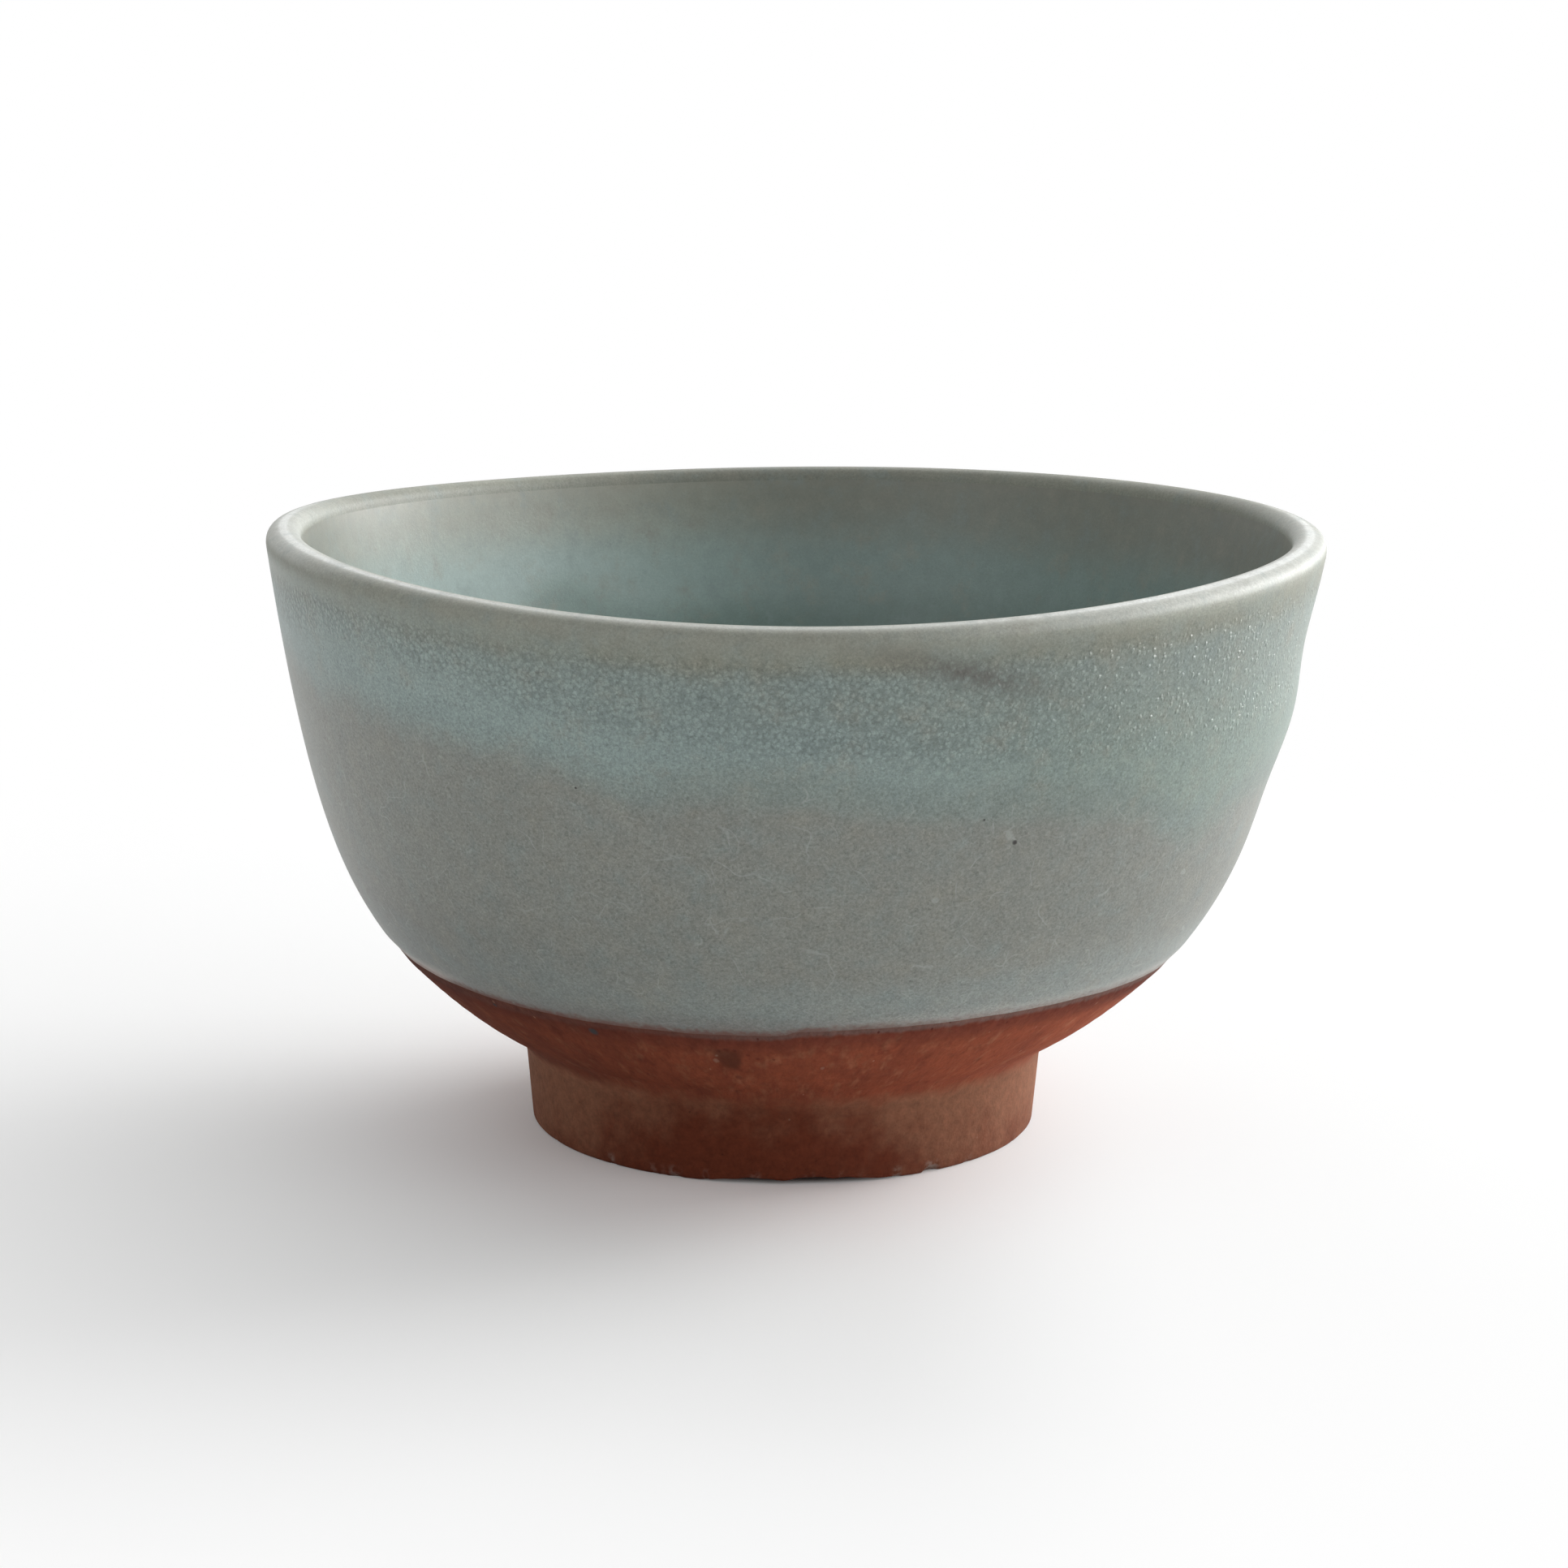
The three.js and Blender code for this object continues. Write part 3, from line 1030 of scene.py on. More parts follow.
    def _pebbles(self, wall: Wall) -> tuple[Field, Field, Field]:
        """The pebbles under the lip.

        Args:
            wall: the surface.

        Returns:
            Where the glaze is pebbled, the round tops of the pebbles and the dark gaps between them.
        """
        board, across = wall.board, wall.across
        places = board.stirred(wall.at, 0.5, 0.17)
        distance, chance = board.cells(places, self.pebble_size)
        few = across.step(0.15, 0.65)
        chosen = (chance * 0.7 + 0.45) * (1 - few) + chance.step(0.40, 0.90) * 1.45 * few
        lowest = self.pebble_height - across * 4 + wall.around(self.plain_bearing, self.plain_width) * 4
        zone = (wall.height - lowest).step(-1.5, 2.5) * wall.height.step(*self.pebble_end_zone)
        zone = zone * (0.45 + board.noise(wall.at, 7, 1)).clip() * (1 - across.step(0.5, 0.95) * 0.40)
        cracks = board.rims(places, self.pebble_size).step(0.13, 0.02)
        cracks = cracks * board.noise(wall.at, 0.8, 1).step(0.42, 0.62)
        gaps = (distance.step(0.38, 0.68) + cracks * 0.45) * (1 - few * 0.45)
        return zone * self.pebble_strength, distance.step(0.56, 0.08) * chosen, gaps

    @staticmethod
    def _worms(wall: Wall) -> Field:
        """Short dark wormy pits."""
        ridge = (wall.board.noise(wall.at, 0.55, 1, 0.5, 1.0) - 0.5) * 2
        return (1 - ridge * ridge * 90).clip() * wall.board.noise(wall.at, 0.9, 1).step(0.42, 0.6)

    @staticmethod
    def _hairs(wall: Wall) -> Field:
        """A few pale hair lines of crazing in the lower glaze."""
        crazes = wall.board.rims(wall.board.stirred(wall.at, 4, 2.5), 9.0).step(0.012, 0.003)
        return crazes * wall.board.noise(wall.at, 2.2, 1).step(0.46, 0.60)

    def _smudge(self, wall: Wall) -> Field:
        """The dark smoky streak that slants down under the lip, right of the middle.

        Args:
            wall: the surface.

        Returns:
            Its strength, from 0 to 1.
        """
        beside = wall.bearing - math.radians(self.smudge_bearing)
        slant = wall.height - self.smudge_height + beside * self.smudge_slant
        length = (beside * (1 / math.radians(self.smudge_length))) ** 2
        shape = (-(slant * slant) * 0.55 - length).exp()
        return shape * (0.30 + wall.board.noise(wall.at, 1.1, 3, 0.7).step(0.32, 0.58) * 0.70)


class Clay:
    """Bare clay: a finish with a fine relief and little sheen."""

    name: str
    roughness: float
    gloss: float
    relief_depth: float

    def coat(self, wall: Wall) -> tuple[bpy.types.NodeSocket, Field]:
        """Colour of the clay, and its fine relief from 0 to 1."""
        raise NotImplementedError

    @staticmethod
    def relief(sand: Field, lumps: Field, holes: Field) -> Field:
        """Fine relief of sand and lumps that stand out and holes that go in."""
        return 0.5 + (sand - 0.5) * 0.4 + (lumps - 0.5) * 0.6 - holes * 0.5

    def material(self) -> bpy.types.Material:
        """Makes the clay.

        Returns:
            Its material.
        """
        material, board = NodeBoard.material(self.name)
        paint, relief = self.coat(Wall(board))
        board.finish(paint, self.roughness, self.gloss, relief, self.relief_depth)
        return material


@dataclass(frozen=True)
class RedClay(Clay):
    """Bare red stoneware: grains, pits, chips, splashes of glaze, a fringe darkened by scorching under the
    glaze, and painted light, lighter on the right and darker on the left.
    """

    name: str = "red_clay"
    red: Colour = (0.245, 0.064, 0.032)
    brown: Colour = (0.165, 0.042, 0.023)
    tan: Colour = (0.315, 0.125, 0.068)
    dark: Colour = (0.110, 0.021, 0.012)
    fringe: Colour = (0.118, 0.031, 0.020)
    purple: Colour = (0.150, 0.084, 0.070)
    grain: Colour = (0.42, 0.21, 0.14)
    pinhole: Colour = (0.075, 0.016, 0.010)
    scar: Colour = (0.078, 0.026, 0.015)
    chip: Colour = (0.33, 0.21, 0.16)
    splash: Colour = (0.045, 0.055, 0.06)
    splashes: tuple[Speck, ...] = (Speck(-28.8, 19.75, 0.62), Speck(-46, 20.6, 0.3), Speck(140, 18.5, 0.5))
    chips: tuple[Speck, ...] = (Speck(-11.1, 17.0, 0.42), Speck(-10.8, 17.9, 0.22), Speck(5.3, 16.1, 0.3))
    pits: tuple[Speck, ...] = (
        Speck(-8.3, 14.4, 0.5), Speck(-4.6, 17.6, 0.3), Speck(-2.2, 17.6, 0.2), Speck(-10.2, 18.7, 0.3),
        Speck(-9.1, 18.9, 0.35), Speck(-7.9, 18.8, 0.3), Speck(-6.0, 18.2, 0.3),
    )
    roughness: float = 0.88
    gloss: float = 0.08
    relief_depth: float = 0.10
    reach: float = 40.0
    squeeze: float = 0.7
    recess_blend: float = 1.0
    scorch_bearing: float = 30.0

    def coat(self, wall: Wall) -> tuple[bpy.types.NodeSocket, Field]:
        """Colour and fine relief of the clay.

        Args:
            wall: the surface.

        Returns:
            The colour, and the relief from 0 to 1.
        """
        board, across = wall.board, wall.across
        limits = (FORM.foot_top_radius - self.recess_blend, FORM.recess_top_radius + self.recess_blend)
        at = board.between(wall.rolled(self.reach, self.squeeze), wall.at, wall.reach.step(*limits))
        cloud = board.noise(at, 4, 3, 0.6)
        lumps = board.noise(at, 0.8, 2, 0.6)
        sand = board.noise(at, 0.26, 2, 0.6)
        ragged = (board.noise(at, 0.9, 2) - 0.5) * 0.7
        paint = board.mix(self.red, self.brown, (cloud * 0.7 + lumps * 0.3).step(0.40, 0.68) * 0.75)
        paint = board.mix(paint, self.tan, board.noise(at, 1.5, 2, 0.6).step(0.50, 0.78) * 0.60)
        paint = board.mix(paint, self.dark, board.noise(at, 1.9, 3, 0.65, 0.5).step(0.54, 0.80) * 0.60)
        below = board.noted("below_glaze")
        fringe = (below + ragged * 1.8).step(3.9, 0.7) * (0.72 + across.step(0.2, 0.9) * 0.2)
        paint = board.mix(paint, self.fringe, fringe)
        right = wall.towards(self.scorch_bearing).step(0.55, 0.95)
        left = across.step(-0.35, -0.7)
        line = (below + ragged - left * 0.5).step(0.95, 0.35)
        paint = board.mix(paint, self.purple, line * (0.35 + right * 0.65))
        # Painted light: the clay is lighter on the right and darker on the left, with less of it just under
        # the glaze on the right
        painted_light_cut = below.step(3.4, 1.6) * across.step(0.55, 0.9)
        painted_light = 0.96 + across * 0.36 - painted_light_cut * 0.34
        paint = board.shade(paint, (0.35 + lumps * 0.80 + sand * 0.50) * painted_light)
        scar = (board.noted("scar") + ragged * 0.9).step(0.05, 1.0)
        paint = board.mix(paint, self.scar, scar * (0.50 + lumps * 0.5))
        paint = board.mix(paint, self.grain, board.spots(at, 1.8, 0.10, 0.22) * 0.45)
        near = (below + ragged).step(2.2, 0.5) * (0.25 + right * 0.65) + 0.10
        pits = wall.marks(self.pits, self.reach, ragged * 0.5)
        holes = (board.spots(at, 0.75, 0.24, 0.30) * near + pits * 0.6).clip()
        paint = board.mix(paint, self.pinhole, holes * 0.8)
        paint = board.mix(paint, self.chip, wall.marks(self.chips, self.reach, ragged) * 0.4)
        splash = wall.marks(self.splashes, self.reach)
        paint = board.mix(paint, self.splash, splash * 0.85)
        return paint, self.relief(sand, lumps, holes) + splash * 0.5


@dataclass(frozen=True)
class FootClay(Clay):
    """Bare brown stoneware of the foot, duller above, redder below and worn at the table."""

    name: str = "foot_clay"
    dull: Colour = (0.230, 0.102, 0.059)
    red: Colour = (0.123, 0.0295, 0.0138)
    wear_and_sheen: Colour = (0.36, 0.31, 0.27)
    grain: Colour = (0.34, 0.20, 0.14)
    pinhole: Colour = (0.018, 0.009, 0.007)
    red_bearing: float = -10.0
    red_spread: float = 34.0
    roughness: float = 0.9
    gloss: float = 0.14
    relief_depth: float = 0.11

    def coat(self, wall: Wall) -> tuple[bpy.types.NodeSocket, Field]:
        """Colour and fine relief of the clay.

        Args:
            wall: the surface.

        Returns:
            The colour, and the relief from 0 to 1.
        """
        board, at = wall.board, wall.at
        cloud = board.noise(at, 5, 3, 0.6) - 0.5
        lumps = board.noise(at, 0.9, 2, 0.6)
        sand = board.noise(at, 0.3, 2, 0.6)
        front = wall.around(self.red_bearing, self.red_spread)
        side = wall.across.step(0.3, 0.9)
        redness = front * 0.95 - wall.height * 0.075 + cloud * 1.3 + 0.42 + side * 0.10
        paint = board.mix(self.dull, self.red, redness.step(0.0, 1.0))
        paint = board.shade(paint, 0.40 + lumps * 0.70 + sand * 0.50)
        paint = board.mix(paint, self.grain, board.spots(at, 2.1, 0.10, 0.12) * 0.3)
        holes = board.spots(at, 1.8, 0.11, 0.12)
        paint = board.mix(paint, self.pinhole, holes * 0.35)
        chipped = board.noted("chipped") * board.noise(at, 0.9, 2).step(0.40, 0.60)
        paint = board.mix(paint, self.wear_and_sheen, chipped.clip() * 0.7)
        return paint, self.relief(sand, lumps, holes)


@dataclass(frozen=True)
class DrySlip:
    """Slip smoothed by a finger, brown like the foot below and red like the bowl above."""

    bowl: RedClay = RedClay()
    foot: FootClay = FootClay()

    def material(self) -> bpy.types.Material:
        """Makes the slip between foot and bowl.

        Returns:
            Its material.
        """
        material, board = NodeBoard.material("dry_slip")
        wall = Wall(board)
        red, red_relief = self.bowl.coat(wall)
        brown, brown_relief = self.foot.coat(wall)
        share = board.noted("joined") + (board.noise(wall.at, 2.5, 2) - 0.5) * 0.5
        upper = share.step(0.30, 0.95)
        relief = brown_relief + (red_relief - brown_relief) * upper
        line = share.step(0.22, 0.42) * share.step(0.72, 0.52)
        paint = board.shade(board.mix(brown, red, upper), 1 + line * 0.08)
        board.finish(paint, self.foot.roughness, self.foot.gloss, relief, self.bowl.relief_depth)
        return material


GLAZES: dict[GlazeSide, Celadon] = {
    GlazeSide.OUTSIDE: Celadon(),
    # The inside coat is a darker copy of the outside glaze, as painted shade inside the bowl, with painted
    # light on its left wall and the lip darker behind
    GlazeSide.INSIDE: Celadon(
        GlazeSide.INSIDE,
        lip=(0.225, 0.228, 0.192), back_lip=(0.205, 0.208, 0.173), under_lip=(0.192, 0.204, 0.171),
        pebbled=(0.184, 0.206, 0.176), blue=(0.212, 0.279, 0.264), turquoise=(0.191, 0.262, 0.243),
        grey=(0.132, 0.190, 0.172), low_blue=(0.128, 0.184, 0.168),
        band_height=51.0, band_slope=0.0, band_wander=5.0, band_lumps=16.0,
        drips=(Drip(-147, -4.0, 8), Drip(160, -1.5, 14)),
        grain_strength=0.3, painted_light_strength=0.55, painted_light_bearing=-138.0, painted_light_from=0.68, painted_light_zone=(14.0, 44.0),
        tan_zone=(57.0, 65.0), pebble_strength=0.08, relief_depth=0.06,
    ),
}


# Pieces of the bowl

class Piece:
    """A piece of the bowl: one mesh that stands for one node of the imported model."""

    name: str
    node: str
    slot: str

    def build(self) -> bpy.types.Object:
        """Models the piece."""
        raise NotImplementedError

    def dress(self, piece: bpy.types.Object) -> None:
        """Gives the piece its finish."""
        raise NotImplementedError

    def make(self) -> None:
        """Models, dresses and mounts the piece, and reports it."""
        piece = self.build()
        self.dress(piece)
        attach(piece, BODY)
        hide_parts(self.node)
        LOG.info("%s: %d faces", piece.name, len(piece.data.polygons))

    @staticmethod
    def paint(piece: bpy.types.Object, material: bpy.types.Material) -> None:
        """Sets a piece's only material."""
        piece.data.materials.clear()
        piece.data.materials.append(material)


@dataclass
class ThrownBowl(Piece):
    """The clay bowl: turned underside, wall, lip and floor."""

    name: str = "clay_bowl"
    node: str = "thrown_bowl"
    slot: str = "red_clay"
    segments: int = 600
    seat_rings: int = 24
    underside_rings: int = 56
    underside_top: float = 23.6
    wall_rings: int = 16
    lip_rings: int = 8
    floor_rings: int = 10
    turning_depth: float = 0.02
    turning_pitch: float = 1.15
    turning_wobble: float = 0.8
    fine_share: float = 0.6
    fine_pitch: float = 0.4945
    fine_wobble: float = 2.0
    turning_fade: float = 1.5
    recess_mark_depth: float = 0.16
    recess_mark_pitch: float = 2.3
    recess_margin: float = 0.8
    recess_fade: float = 2.0
    scar_bearing: float = -9.0
    scar_height: float = 17.2
    scar_reach: float = 40.0
    scar_width: float = 1.7
    scar_waist: float = 0.8
    scar_taper: float = 0.25
    scar_widths: Span = (0.4, 1.2)
    scar_length: float = 1.75
    scar_depth: float = 0.2

    def build(self) -> bpy.types.Object:
        """Turns the bowl, then cuts the marks of turning and the scar.

        Returns:
            The piece.
        """
        line = FORM.outside_line()
        seat = np.linspace((0, FORM.foot_height), line[0], self.seat_rings + 1)
        under = line[line[:, 1] <= self.underside_top]
        under = along(under, np.linspace(0, 1, self.underside_rings + 1))
        skin, _ = FORM.skin(self.wall_rings, self.lip_rings, self.floor_rings)
        outline = np.vstack([seat, under[1:], self._hidden(skin)])
        piece = Wheel.turn(self.name, outline, self.segments)
        Wheel.shape(piece, self._mould)
        self._note_marks(piece)
        return piece

    def _hidden(self, skin: np.ndarray) -> np.ndarray:
        """The part of the outline that lies under glaze."""
        start = int(np.argmax(skin[:, 1] > self.underside_top + 1))
        return skin[start:]

    def _mould(self, radius: np.ndarray, angle: np.ndarray, height: np.ndarray) -> tuple[np.ndarray, ...]:
        """Cuts the rings of the turning tool on the underside and in the recess, and the scar.

        Args:
            radius: distances from the axis.
            angle: angles about the axis, in radians.
            height: heights.

        Returns:
            The new radii, angles and heights.
        """
        bare_and_highlight = (radius > FORM.foot_top_radius) & (height < GLAZE_LINE.heights(angle))
        bare_and_highlight &= height <= np.interp(radius, *FORM.outside_line().T) + TOLERANCE
        turn = FULL_TURN * height
        rings = np.cos(turn / self.turning_pitch + np.cos(angle + 1) * self.turning_wobble)
        rings += self.fine_share * np.cos(turn / self.fine_pitch + self.fine_wobble * np.sin(2 * angle))
        fade = np.clip((height - FORM.foot_height) / self.turning_fade, 0, 1)
        fade *= np.clip((GLAZE_LINE.heights(angle) - height) / self.turning_fade, 0, 1)
        cut = self.turning_depth * rings * fade - self.scar_depth * self._scar(angle, height)
        radius = radius + np.where(bare_and_highlight, cut, 0)
        limit = FORM.recess_top_radius - self.recess_margin
        recess = (height < FORM.foot_height + TOLERANCE) & (radius < limit)
        spiral = np.cos(FULL_TURN * radius / self.recess_mark_pitch - angle)
        fade = np.clip((limit - radius) / self.recess_fade, 0, 1) * np.clip(radius / self.recess_fade, 0, 1)
        mark = self.recess_mark_depth * (spiral + 1) / 2 * fade
        return radius, angle, height + np.where(recess, mark, 0)

    def _scar(self, angle: np.ndarray, height: np.ndarray) -> np.ndarray:
        """The scar on the clay.

        Args:
            angle: angles about the axis, in radians.
            height: heights.

        Returns:
            Its depth, from 0 to 1.
        """
        up = (height - self.scar_height) / self.scar_length
        width = self.scar_width * np.clip(self.scar_waist + self.scar_taper * up, *self.scar_widths)
        across = np.radians(turned_from(angle, self.scar_bearing)) * self.scar_reach / width
        return np.exp(-across ** 4 - up ** 4)

    def _note_marks(self, piece: bpy.types.Object) -> None:
        """Keeps each vertex's distance below the glaze and its place in the scar.

        Args:
            piece: the piece.
        """
        x, y, _ = Wheel.places(piece).T
        angle = np.arctan2(y, x)
        scar = self._scar(angle, Wheel.noted(piece, "height"))
        Wheel.note_below_glaze(piece)
        Wheel.note(piece, "scar", scar * (np.hypot(x, y) > FORM.foot_top_radius))

    def dress(self, piece: bpy.types.Object) -> None:
        """Leaves the clay bare."""
        self.paint(piece, RedClay().material())


@dataclass(frozen=True)
class Chip:
    """A small break in the lower edge of the foot.

    The bearing and the width are in degrees, the depth in millimetres, and paleness runs from 0 to 1.
    """

    bearing: float
    width: float
    depth: float
    paleness: float


@dataclass
class FootRing(Piece):
    """The foot: a ring with a worn and chipped lower edge that stands a little clear in front."""

    name: str = "foot"
    node: str = "foot_ring"
    slot: str = "foot_clay"
    segments: int = 900
    wall_rings: int = 26
    edge_rings: int = 6
    face_rings: int = 14
    roof_rings: int = 4
    wear: float = 0.04
    wear_waves: Waves = ((7, 1, 0.5), (19, 0, 0.4), (43, 2, 0.3))
    wear_height: float = 3.0
    corner_cut: float = 0.6
    chip_seed: int = 7
    chip_count: int = 16
    chips: tuple[Chip, ...] = (
        Chip(-41, 1.0, 0.15, 0.6), Chip(-24, 1.4, 0.2, 0.6), Chip(-6, 1.2, 0.15, 0.5),
        Chip(6, 1.0, 0.15, 0.5), Chip(26, 1.0, 0.18, 0.6), Chip(35, 1.9, 0.6, 1.0),
    )
    lift: float = 0.75
    lift_bearing: float = 4.0
    lift_width: float = 19.0
    lift_reach: float = 5.0
    lift_waves: Waves = ((19, 2, 0.16), (34, 0, 0.12), (67, 1, 0.06))
    pale_reach: float = 1.6
    pale_slope: float = 1.2

    def build(self) -> bpy.types.Object:
        """Turns the ring, then wears and chips its lower edge.

        Returns:
            The piece.
        """
        piece = Wheel.turn(self.name, self._outline(), self.segments)
        Wheel.shape(piece, self._mould)
        return piece

    def _outline(self) -> np.ndarray:
        """Draws the closed section of the ring.

        Returns:
            Radius and height of each point.
        """
        inner, outer, edge = FORM.recess_radius, FORM.foot_bottom_radius, FORM.foot_edge
        turns = np.linspace(0, math.pi / 2, self.edge_rings + 1)[:, None]
        heel = np.array([outer - edge, edge]) + edge * np.hstack([np.sin(turns), -np.cos(turns)])
        toe = np.array([inner + edge, edge]) + edge * np.hstack([-np.cos(turns), -np.sin(turns)])
        top = FORM.ring_top
        wall = np.linspace(heel[-1], (FORM.foot_top_radius, top), self.wall_rings + 1)
        roof = np.linspace(wall[-1], (FORM.recess_top_radius, top), self.roof_rings + 1)
        recess = np.linspace(roof[-1], toe[0], self.wall_rings + 1)
        face = np.linspace(toe[-1], heel[0], self.face_rings + 1)
        return np.vstack([face[:-1], heel[:-1], wall[:-1], roof[:-1], recess[:-1], toe])

    def _chips(self) -> list[Chip]:
        """Lists the chips seen from the front, and small ones scattered all round.

        Returns:
            The chips.
        """
        draw = random.Random(self.chip_seed)
        limits = ((-180, 180), (0.4, 1.2), (0.05, 0.2), (0, 0.5))
        small = [Chip(*(draw.uniform(*limit) for limit in limits)) for _ in range(self.chip_count)]
        return [*self.chips, *small]

    def _mould(self, radius: np.ndarray, angle: np.ndarray, height: np.ndarray) -> tuple[np.ndarray, ...]:
        """Cuts the corner at the table back to the worn edge, and hollows it out in front.

        Args:
            radius: distances from the axis.
            angle: angles about the axis, in radians.
            height: heights.

        Returns:
            The new radii, angles and heights.
        """
        depth = self.wear * (1 + ripples(angle, self.wear_waves))
        for chip in self._chips():
            depth = depth + chip.depth * plateau(angle, chip.bearing, chip.width)
        out = radius - FORM.foot_bottom_radius
        excess = np.maximum(0, out - height + FORM.foot_edge * self.corner_cut + depth)
        excess *= height < self.wear_height
        lift = self.lift * plateau(angle, self.lift_bearing, self.lift_width)
        lift *= 1 + ripples(angle, self.lift_waves)
        share = np.clip(1 + out / self.lift_reach, 0, 1)
        return radius - excess / 2, angle, np.maximum(height + excess / 2, lift * share)

    def _note_chips(self, piece: bpy.types.Object) -> None:
        """Keeps how pale the chips are at each vertex.

        Args:
            piece: the piece.
        """
        x, y, height = Wheel.places(piece).T
        angle = np.arctan2(y, x - FORM.foot_offset)
        pale = np.zeros(len(x))
        for chip in self._chips():
            pale += chip.paleness * plateau(angle, chip.bearing, chip.width)
        out = np.hypot(x - FORM.foot_offset, y) - FORM.foot_bottom_radius
        at_edge = np.clip(self.pale_reach - height, 0, 1)
        at_edge *= np.clip(self.pale_reach + out * self.pale_slope, 0, 1)
        Wheel.note(piece, "chipped", np.clip(pale, 0, 1) * at_edge)

    def dress(self, piece: bpy.types.Object) -> None:
        """Leaves the clay bare."""
        self._note_chips(piece)
        self.paint(piece, FootClay().material())


@dataclass
class LutingSlip(Piece):
    """The slip that joins foot and bowl, smoothed into the corner between them."""

    name: str = "slip"
    node: str = "slip_joint"
    slot: str = "slip"
    segments: int = 600
    fillet_rings: int = 20
    bead_rings: int = 8
    sink: float = 0.02
    tongue: float = 1.0
    hollow_rise: float = 0.8

    def build(self) -> bpy.types.Object:
        """Turns the ring of slip, and notes how far up its hollow each vertex is.

        Returns:
            The piece.
        """
        piece = Wheel.turn(self.name, self._outline(), self.segments)
        Wheel.shape(piece, lambda radius, angle, height: (radius, angle, height))
        height = Wheel.places(piece)[:, 2]
        low = FORM.ring_top - FORM.slip_fillet
        high = FORM.foot_height + self.hollow_rise
        Wheel.note(piece, "joined", np.clip((height - low) / (high - low), 0, 1))
        Wheel.note_below_glaze(piece)
        return piece

    def _outline(self) -> np.ndarray:
        """The closed section: flat between foot and bowl, hollow outside and beaded inside.

        Returns:
            Radius and height of each point.
        """
        top, ring_top, inner = FORM.foot_height, FORM.ring_top, FORM.recess_top_radius
        corner = np.array([FORM.foot_top_radius, ring_top])
        slope = FORM.foot_taper / (ring_top - FORM.foot_edge)
        low = corner - (slope * FORM.slip_fillet + self.sink, FORM.slip_fillet)
        line = FORM.outside_line()
        reach = FORM.foot_top_radius + FORM.slip_fillet
        high = np.array([reach, np.interp(reach, line[:, 0], line[:, 1]) + self.sink])
        fillet = bezier(low, corner + (FORM.bond_gap, 0), high, samples=self.fillet_rings)
        swollen = (inner - 2 * FORM.slip_bead, (top + ring_top) / 2)
        bead = bezier((inner, top), swollen, (inner, ring_top), samples=self.bead_rings)
        seat = (FORM.foot_top_radius - self.tongue, top)
        return np.vstack([fillet, [seat], bead, [corner - (self.tongue, 0)], [low]])

    def dress(self, piece: bpy.types.Object) -> None:
        """Leaves the slip dry."""
        self.paint(piece, DrySlip().material())


@dataclass
class GlazeCoat(Piece):
    """A coat of glaze on one side of the wall."""

    name: str
    node: str
    slot: str
    side: GlazeSide
    segments: int = 720
    wall_rings: int = 74
    lip_rings: int = 18
    floor_rings: int = 34
    backing_step: int = 4
    slide_reach: float = 13.0
    roll_rings: int = 6
    trim: float = 0.09
    crown_radius: float = 58.0
    crown_spread: float = 0.45
    crown_drop: float = 1.0
    crown_fade: float = 0.6
    feather: float = 0.05
    feather_reach: float = 2.5

    def build(self) -> bpy.types.Object:
        """Turns the coat as a thin shell over the clay.

        Returns:
            The piece.
        """
        skin, meeting = FORM.skin(self.wall_rings, self.lip_rings, self.floor_rings)
        fullness = self._fullness(skin)
        face = raised(skin, (FORM.glaze_coat - self.trim) * fullness)
        bond = raised(skin, FORM.bond_gap * fullness)
        outside = self.side is GlazeSide.OUTSIDE
        covered = slice(meeting + 1) if outside else slice(meeting, None)
        face, bond = face[covered], bond[covered]
        backing = np.vstack([bond[-1:], bond[-2:0:-self.backing_step], bond[:1]])
        if outside:
            outline = np.vstack([face, backing, self._roll(face[0], bond[0])])
        else:
            outline = np.vstack([backing, face])
        piece = Wheel.turn(self.name, outline, self.segments)
        self._note_crown(piece)
        Wheel.shape(piece, self._mould)
        Wheel.note_below_glaze(piece)
        return piece

    def _note_crown(self, piece: bpy.types.Object) -> None:
        """Keeps how near each vertex is to the crown of the lip, where a highlight is painted.

        Args:
            piece: the piece.
        """
        x, y, height = Wheel.places(piece).T
        on_lip = np.clip((height - FORM.bowl_height + self.crown_drop) / self.crown_fade, 0, 1)
        Wheel.note(piece, "crown", swell(np.hypot(x, y), self.crown_radius, self.crown_spread) * on_lip)

    def _fullness(self, skin: np.ndarray) -> np.ndarray:
        """Share of its full thickness that the coat has, which thins out towards its lower edge."""
        return self.feather + (1 - self.feather) * eased(lengths(skin) / self.feather_reach)

    def _roll(self, face: np.ndarray, bond: np.ndarray) -> np.ndarray:
        """The rounded lower edge, from the clay back to the face.

        Args:
            face: lowest point of the coat's face.
            bond: lowest point of its back.

        Returns:
            Radius and height of each point.
        """
        middle = (face + bond) / 2
        arm = bond - middle
        down = np.array([arm[1], -arm[0]])
        turns = np.linspace(0, math.pi, self.roll_rings + 1)[1:, None]
        return middle + np.cos(turns) * arm + np.sin(turns) * down * np.sign(down[1])

    def _mould(self, radius: np.ndarray, angle: np.ndarray, height: np.ndarray) -> tuple[np.ndarray, ...]:
        """Slides the lower edge up and down the wall to the wavy glaze line.

        Args:
            radius: distances from the axis.
            angle: angles about the axis, in radians.
            height: heights.

        Returns:
            The new radii, angles and heights.
        """
        if self.side is GlazeSide.INSIDE:
            return radius, angle, height
        share = eased(1 - (height - GLAZE_LINE.height) / self.slide_reach)
        moved = height + share * (GLAZE_LINE.heights(angle) - GLAZE_LINE.height)
        return radius + FORM.radius_at(moved) - FORM.radius_at(height), angle, moved

    def dress(self, piece: bpy.types.Object) -> None:
        """Fires the glaze."""
        self.paint(piece, GLAZES[self.side].material())


# Studio

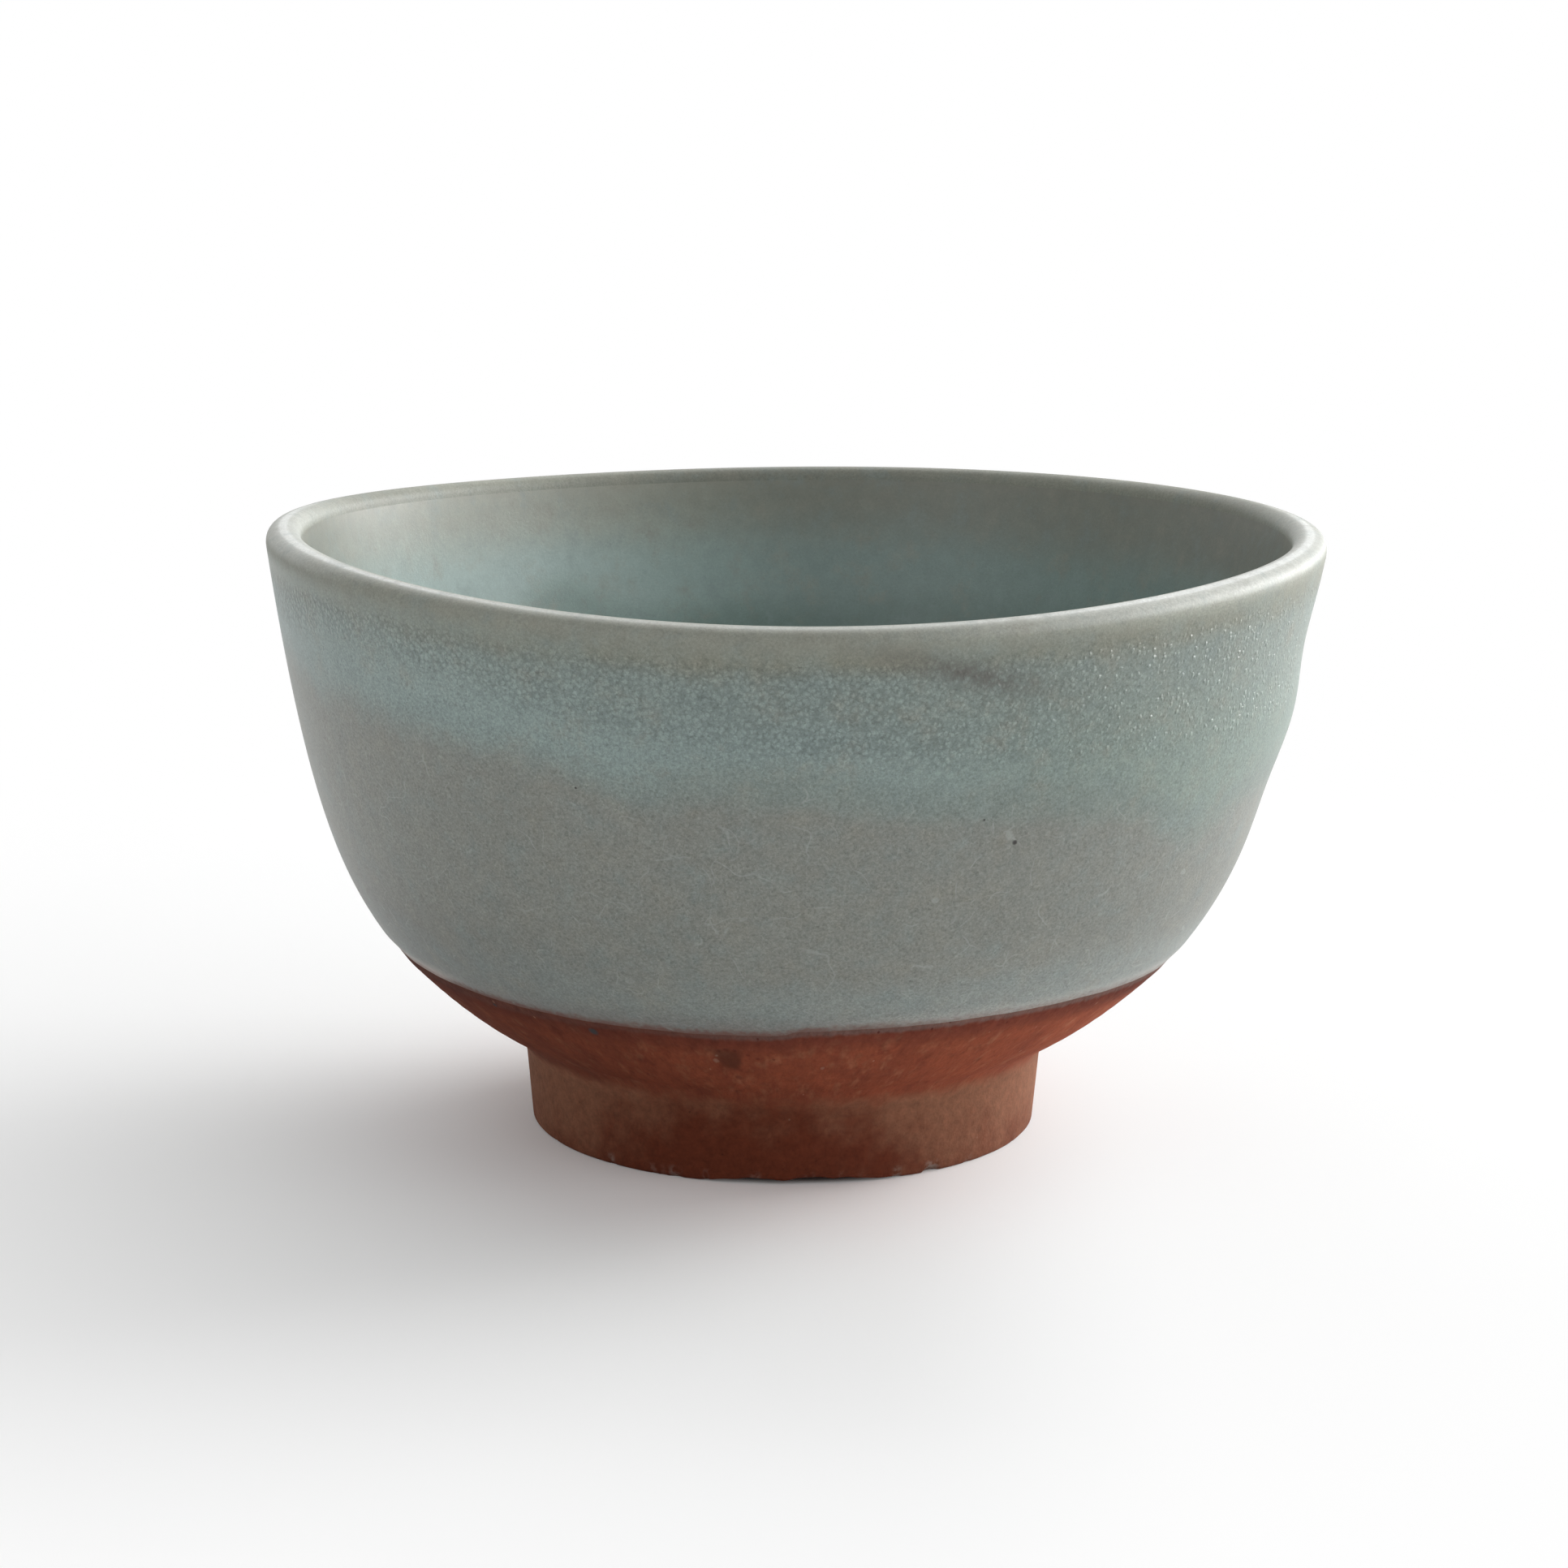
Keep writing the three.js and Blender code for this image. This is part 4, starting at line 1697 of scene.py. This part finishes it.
@dataclass(frozen=True)
class Softbox:
    """A large soft lamp that faces the bowl.

    The level is what a white surface that faces the lamp renders as. A lamp that is sheen_only shows in
    reflections and casts no other light. Bearing and elevation are in degrees.
    """

    name: str
    bearing: float
    elevation: float
    distance: float
    width: float
    height: float
    level: float
    sheen_only: bool = False
    aim_height: float = 35.0

    def hang(self) -> None:
        """Adds the lamp to the scene."""
        turn = math.radians(self.bearing)
        lift = math.radians(self.elevation)
        out = Vector((math.sin(turn) * math.cos(lift), -math.cos(turn) * math.cos(lift), math.sin(lift)))
        lamp = bpy.data.lights.new(self.name, "AREA")
        lamp.shape = "RECTANGLE"
        lamp.size = self.width * MM
        lamp.size_y = self.height * MM
        lamp.energy = self.level * (math.pi * self.distance * MM) ** 2
        holder = bpy.data.objects.new(self.name, lamp)
        holder.location = Vector((0, 0, self.aim_height * MM)) + out * self.distance * MM
        holder.rotation_euler = out.to_track_quat("Z", "Y").to_euler()
        holder.visible_diffuse = not self.sheen_only
        bpy.context.scene.collection.objects.link(holder)


@dataclass(frozen=True)
class Studio:
    """Floor, lamps, surroundings and camera."""

    eye: tuple[float, float, float] = (-0.718, -466.96, 138.67)
    tilt: float = 12.082
    roll: float = 0.432
    lens: float = 95.98
    sensor: float = 36.0
    nearest: float = 10.0
    floor_reach: float = 9000.0
    floor_sides: int = 96
    floor_colour: Colour = (0.95, 0.95, 0.95)
    white_near: float = 30.0
    white_far: float = 220.0
    floor_glow: float = 0.08
    dark_inset: float = 4.0
    dark_margin: float = 0.3
    # Painted light on the floor's right side: its strength, and where it starts and is full
    bright_side: float = 0.72
    bright_from: float = 6.0
    bright_to: float = 42.0
    ambient: float = 0.30
    lamps: tuple[Softbox, ...] = (
        Softbox("low_key", 124, 11, 1100, 600, 400, 0.64),
        Softbox("high_key", 118, 26, 1100, 600, 400, 0.46),
        Softbox("side", 88, 14, 1100, 600, 400, 0.15),
        Softbox("fill", 60, 22, 1100, 600, 400, 0.13),
        Softbox("back", 180, 45, 1000, 1400, 600, 0.48),
        Softbox("front", -42, 40, 1300, 900, 900, 0.17),
        Softbox("sheen", 88, 24, 1100, 500, 400, 0.30, sheen_only=True),
    )

    def build(self) -> None:
        """Sets the whole studio up."""
        bpy.context.scene.view_settings.view_transform = "Standard"
        self._floor()
        self._surroundings()
        for lamp in self.lamps:
            lamp.hang()
        self._camera()

    def _floor(self) -> None:
        """Lays a round pale floor.

        It turns to plain white far from the bowl and, as painted light, on its right side, and stays dark
        under the foot, where it has no glow.
        """
        bpy.ops.object.select_all(action="DESELECT")
        size = self.floor_reach * MM
        bpy.ops.mesh.primitive_circle_add(vertices=self.floor_sides, radius=size, fill_type="NGON")
        floor = bpy.context.object
        floor.name = "floor"
        with editing():
            bpy.ops.mesh.inset(thickness=size - self.white_far * MM)
        material, board = NodeBoard.material("pale_floor")
        x, y, _ = board.parts(board.places())
        reach = x.hypot(y)
        far = reach.step(self.white_near, self.white_far)
        # Painted light: glow that whitens the floor on the right of the foot
        bright = x.step(self.bright_from, self.bright_to) * self.bright_side
        glow = 1 - (1 - far) * (1 - bright) * (1 - self.floor_glow)
        dark_edge = (FORM.recess_radius + self.dark_inset, FORM.foot_bottom_radius - self.dark_margin)
        glow = glow * reach.step(*dark_edge)
        paper = board.node("ShaderNodeBsdfDiffuse", {}, {"Color": self.floor_colour})
        white = board.node("ShaderNodeEmission", {}, {"Color": WHITE, "Strength": 1.0})
        mixed = board.blend(glow * self._seen(board), paper, white)
        board.node("ShaderNodeOutputMaterial", {}, {"Surface": mixed})
        floor.data.materials.append(material)

    @staticmethod
    def _seen(board: NodeBoard) -> Field:
        """Tells what is seen from what only lights.

        Args:
            board: the board to add nodes to.

        Returns:
            1 for what the camera sees, straight or in a reflection, and 0 elsewhere.
        """
        path = board.node("ShaderNodeLightPath", {}, {})
        kinds = ("Is Camera Ray", "Is Glossy Ray", "Is Transmission Ray")
        return sum(Field(board, path.outputs[kind]) for kind in kinds).clip()

    def _surroundings(self) -> None:
        """Makes the world white where it is seen, and a plain soft light elsewhere."""
        world = bpy.data.worlds.new("white_room")
        world.use_nodes = True
        bpy.context.scene.world = world
        board = NodeBoard(world.node_tree)
        soft, white = (board.node("ShaderNodeBackground", {}, {"Color": WHITE, "Strength": strength})
                       for strength in (self.ambient, 1.0))
        mixed = board.blend(self._seen(board), soft, white)
        board.node("ShaderNodeOutputWorld", {}, {"Surface": mixed})

    def _camera(self) -> None:
        """Puts the camera at the photograph's angle."""
        data = bpy.data.cameras.new("camera")
        data.lens = self.lens
        data.sensor_width = self.sensor
        data.clip_start = self.nearest * MM
        camera = bpy.data.objects.new("camera", data)
        pitch = Matrix.Rotation(math.radians(90 - self.tilt), 4, "X")
        roll = Matrix.Rotation(math.radians(self.roll), 4, "Z")
        camera.matrix_world = Matrix.Translation(Vector(self.eye) * MM) @ pitch @ roll
        bpy.context.scene.collection.objects.link(camera)
        bpy.context.scene.camera = camera


def main() -> None:
    """Builds the bowl piece by piece, then the studio round it."""
    logging.basicConfig(level=logging.INFO)
    pieces: list[Piece] = [
        ThrownBowl(),
        FootRing(),
        LutingSlip(),
        GlazeCoat("outside_glaze", "outer_glaze", "outer_glaze", GlazeSide.OUTSIDE),
        GlazeCoat("inside_glaze", "inner_glaze", "inner_glaze", GlazeSide.INSIDE),
    ]
    for piece in pieces:
        piece.make()
    Studio().build()


if __name__ == "__main__":
    main()
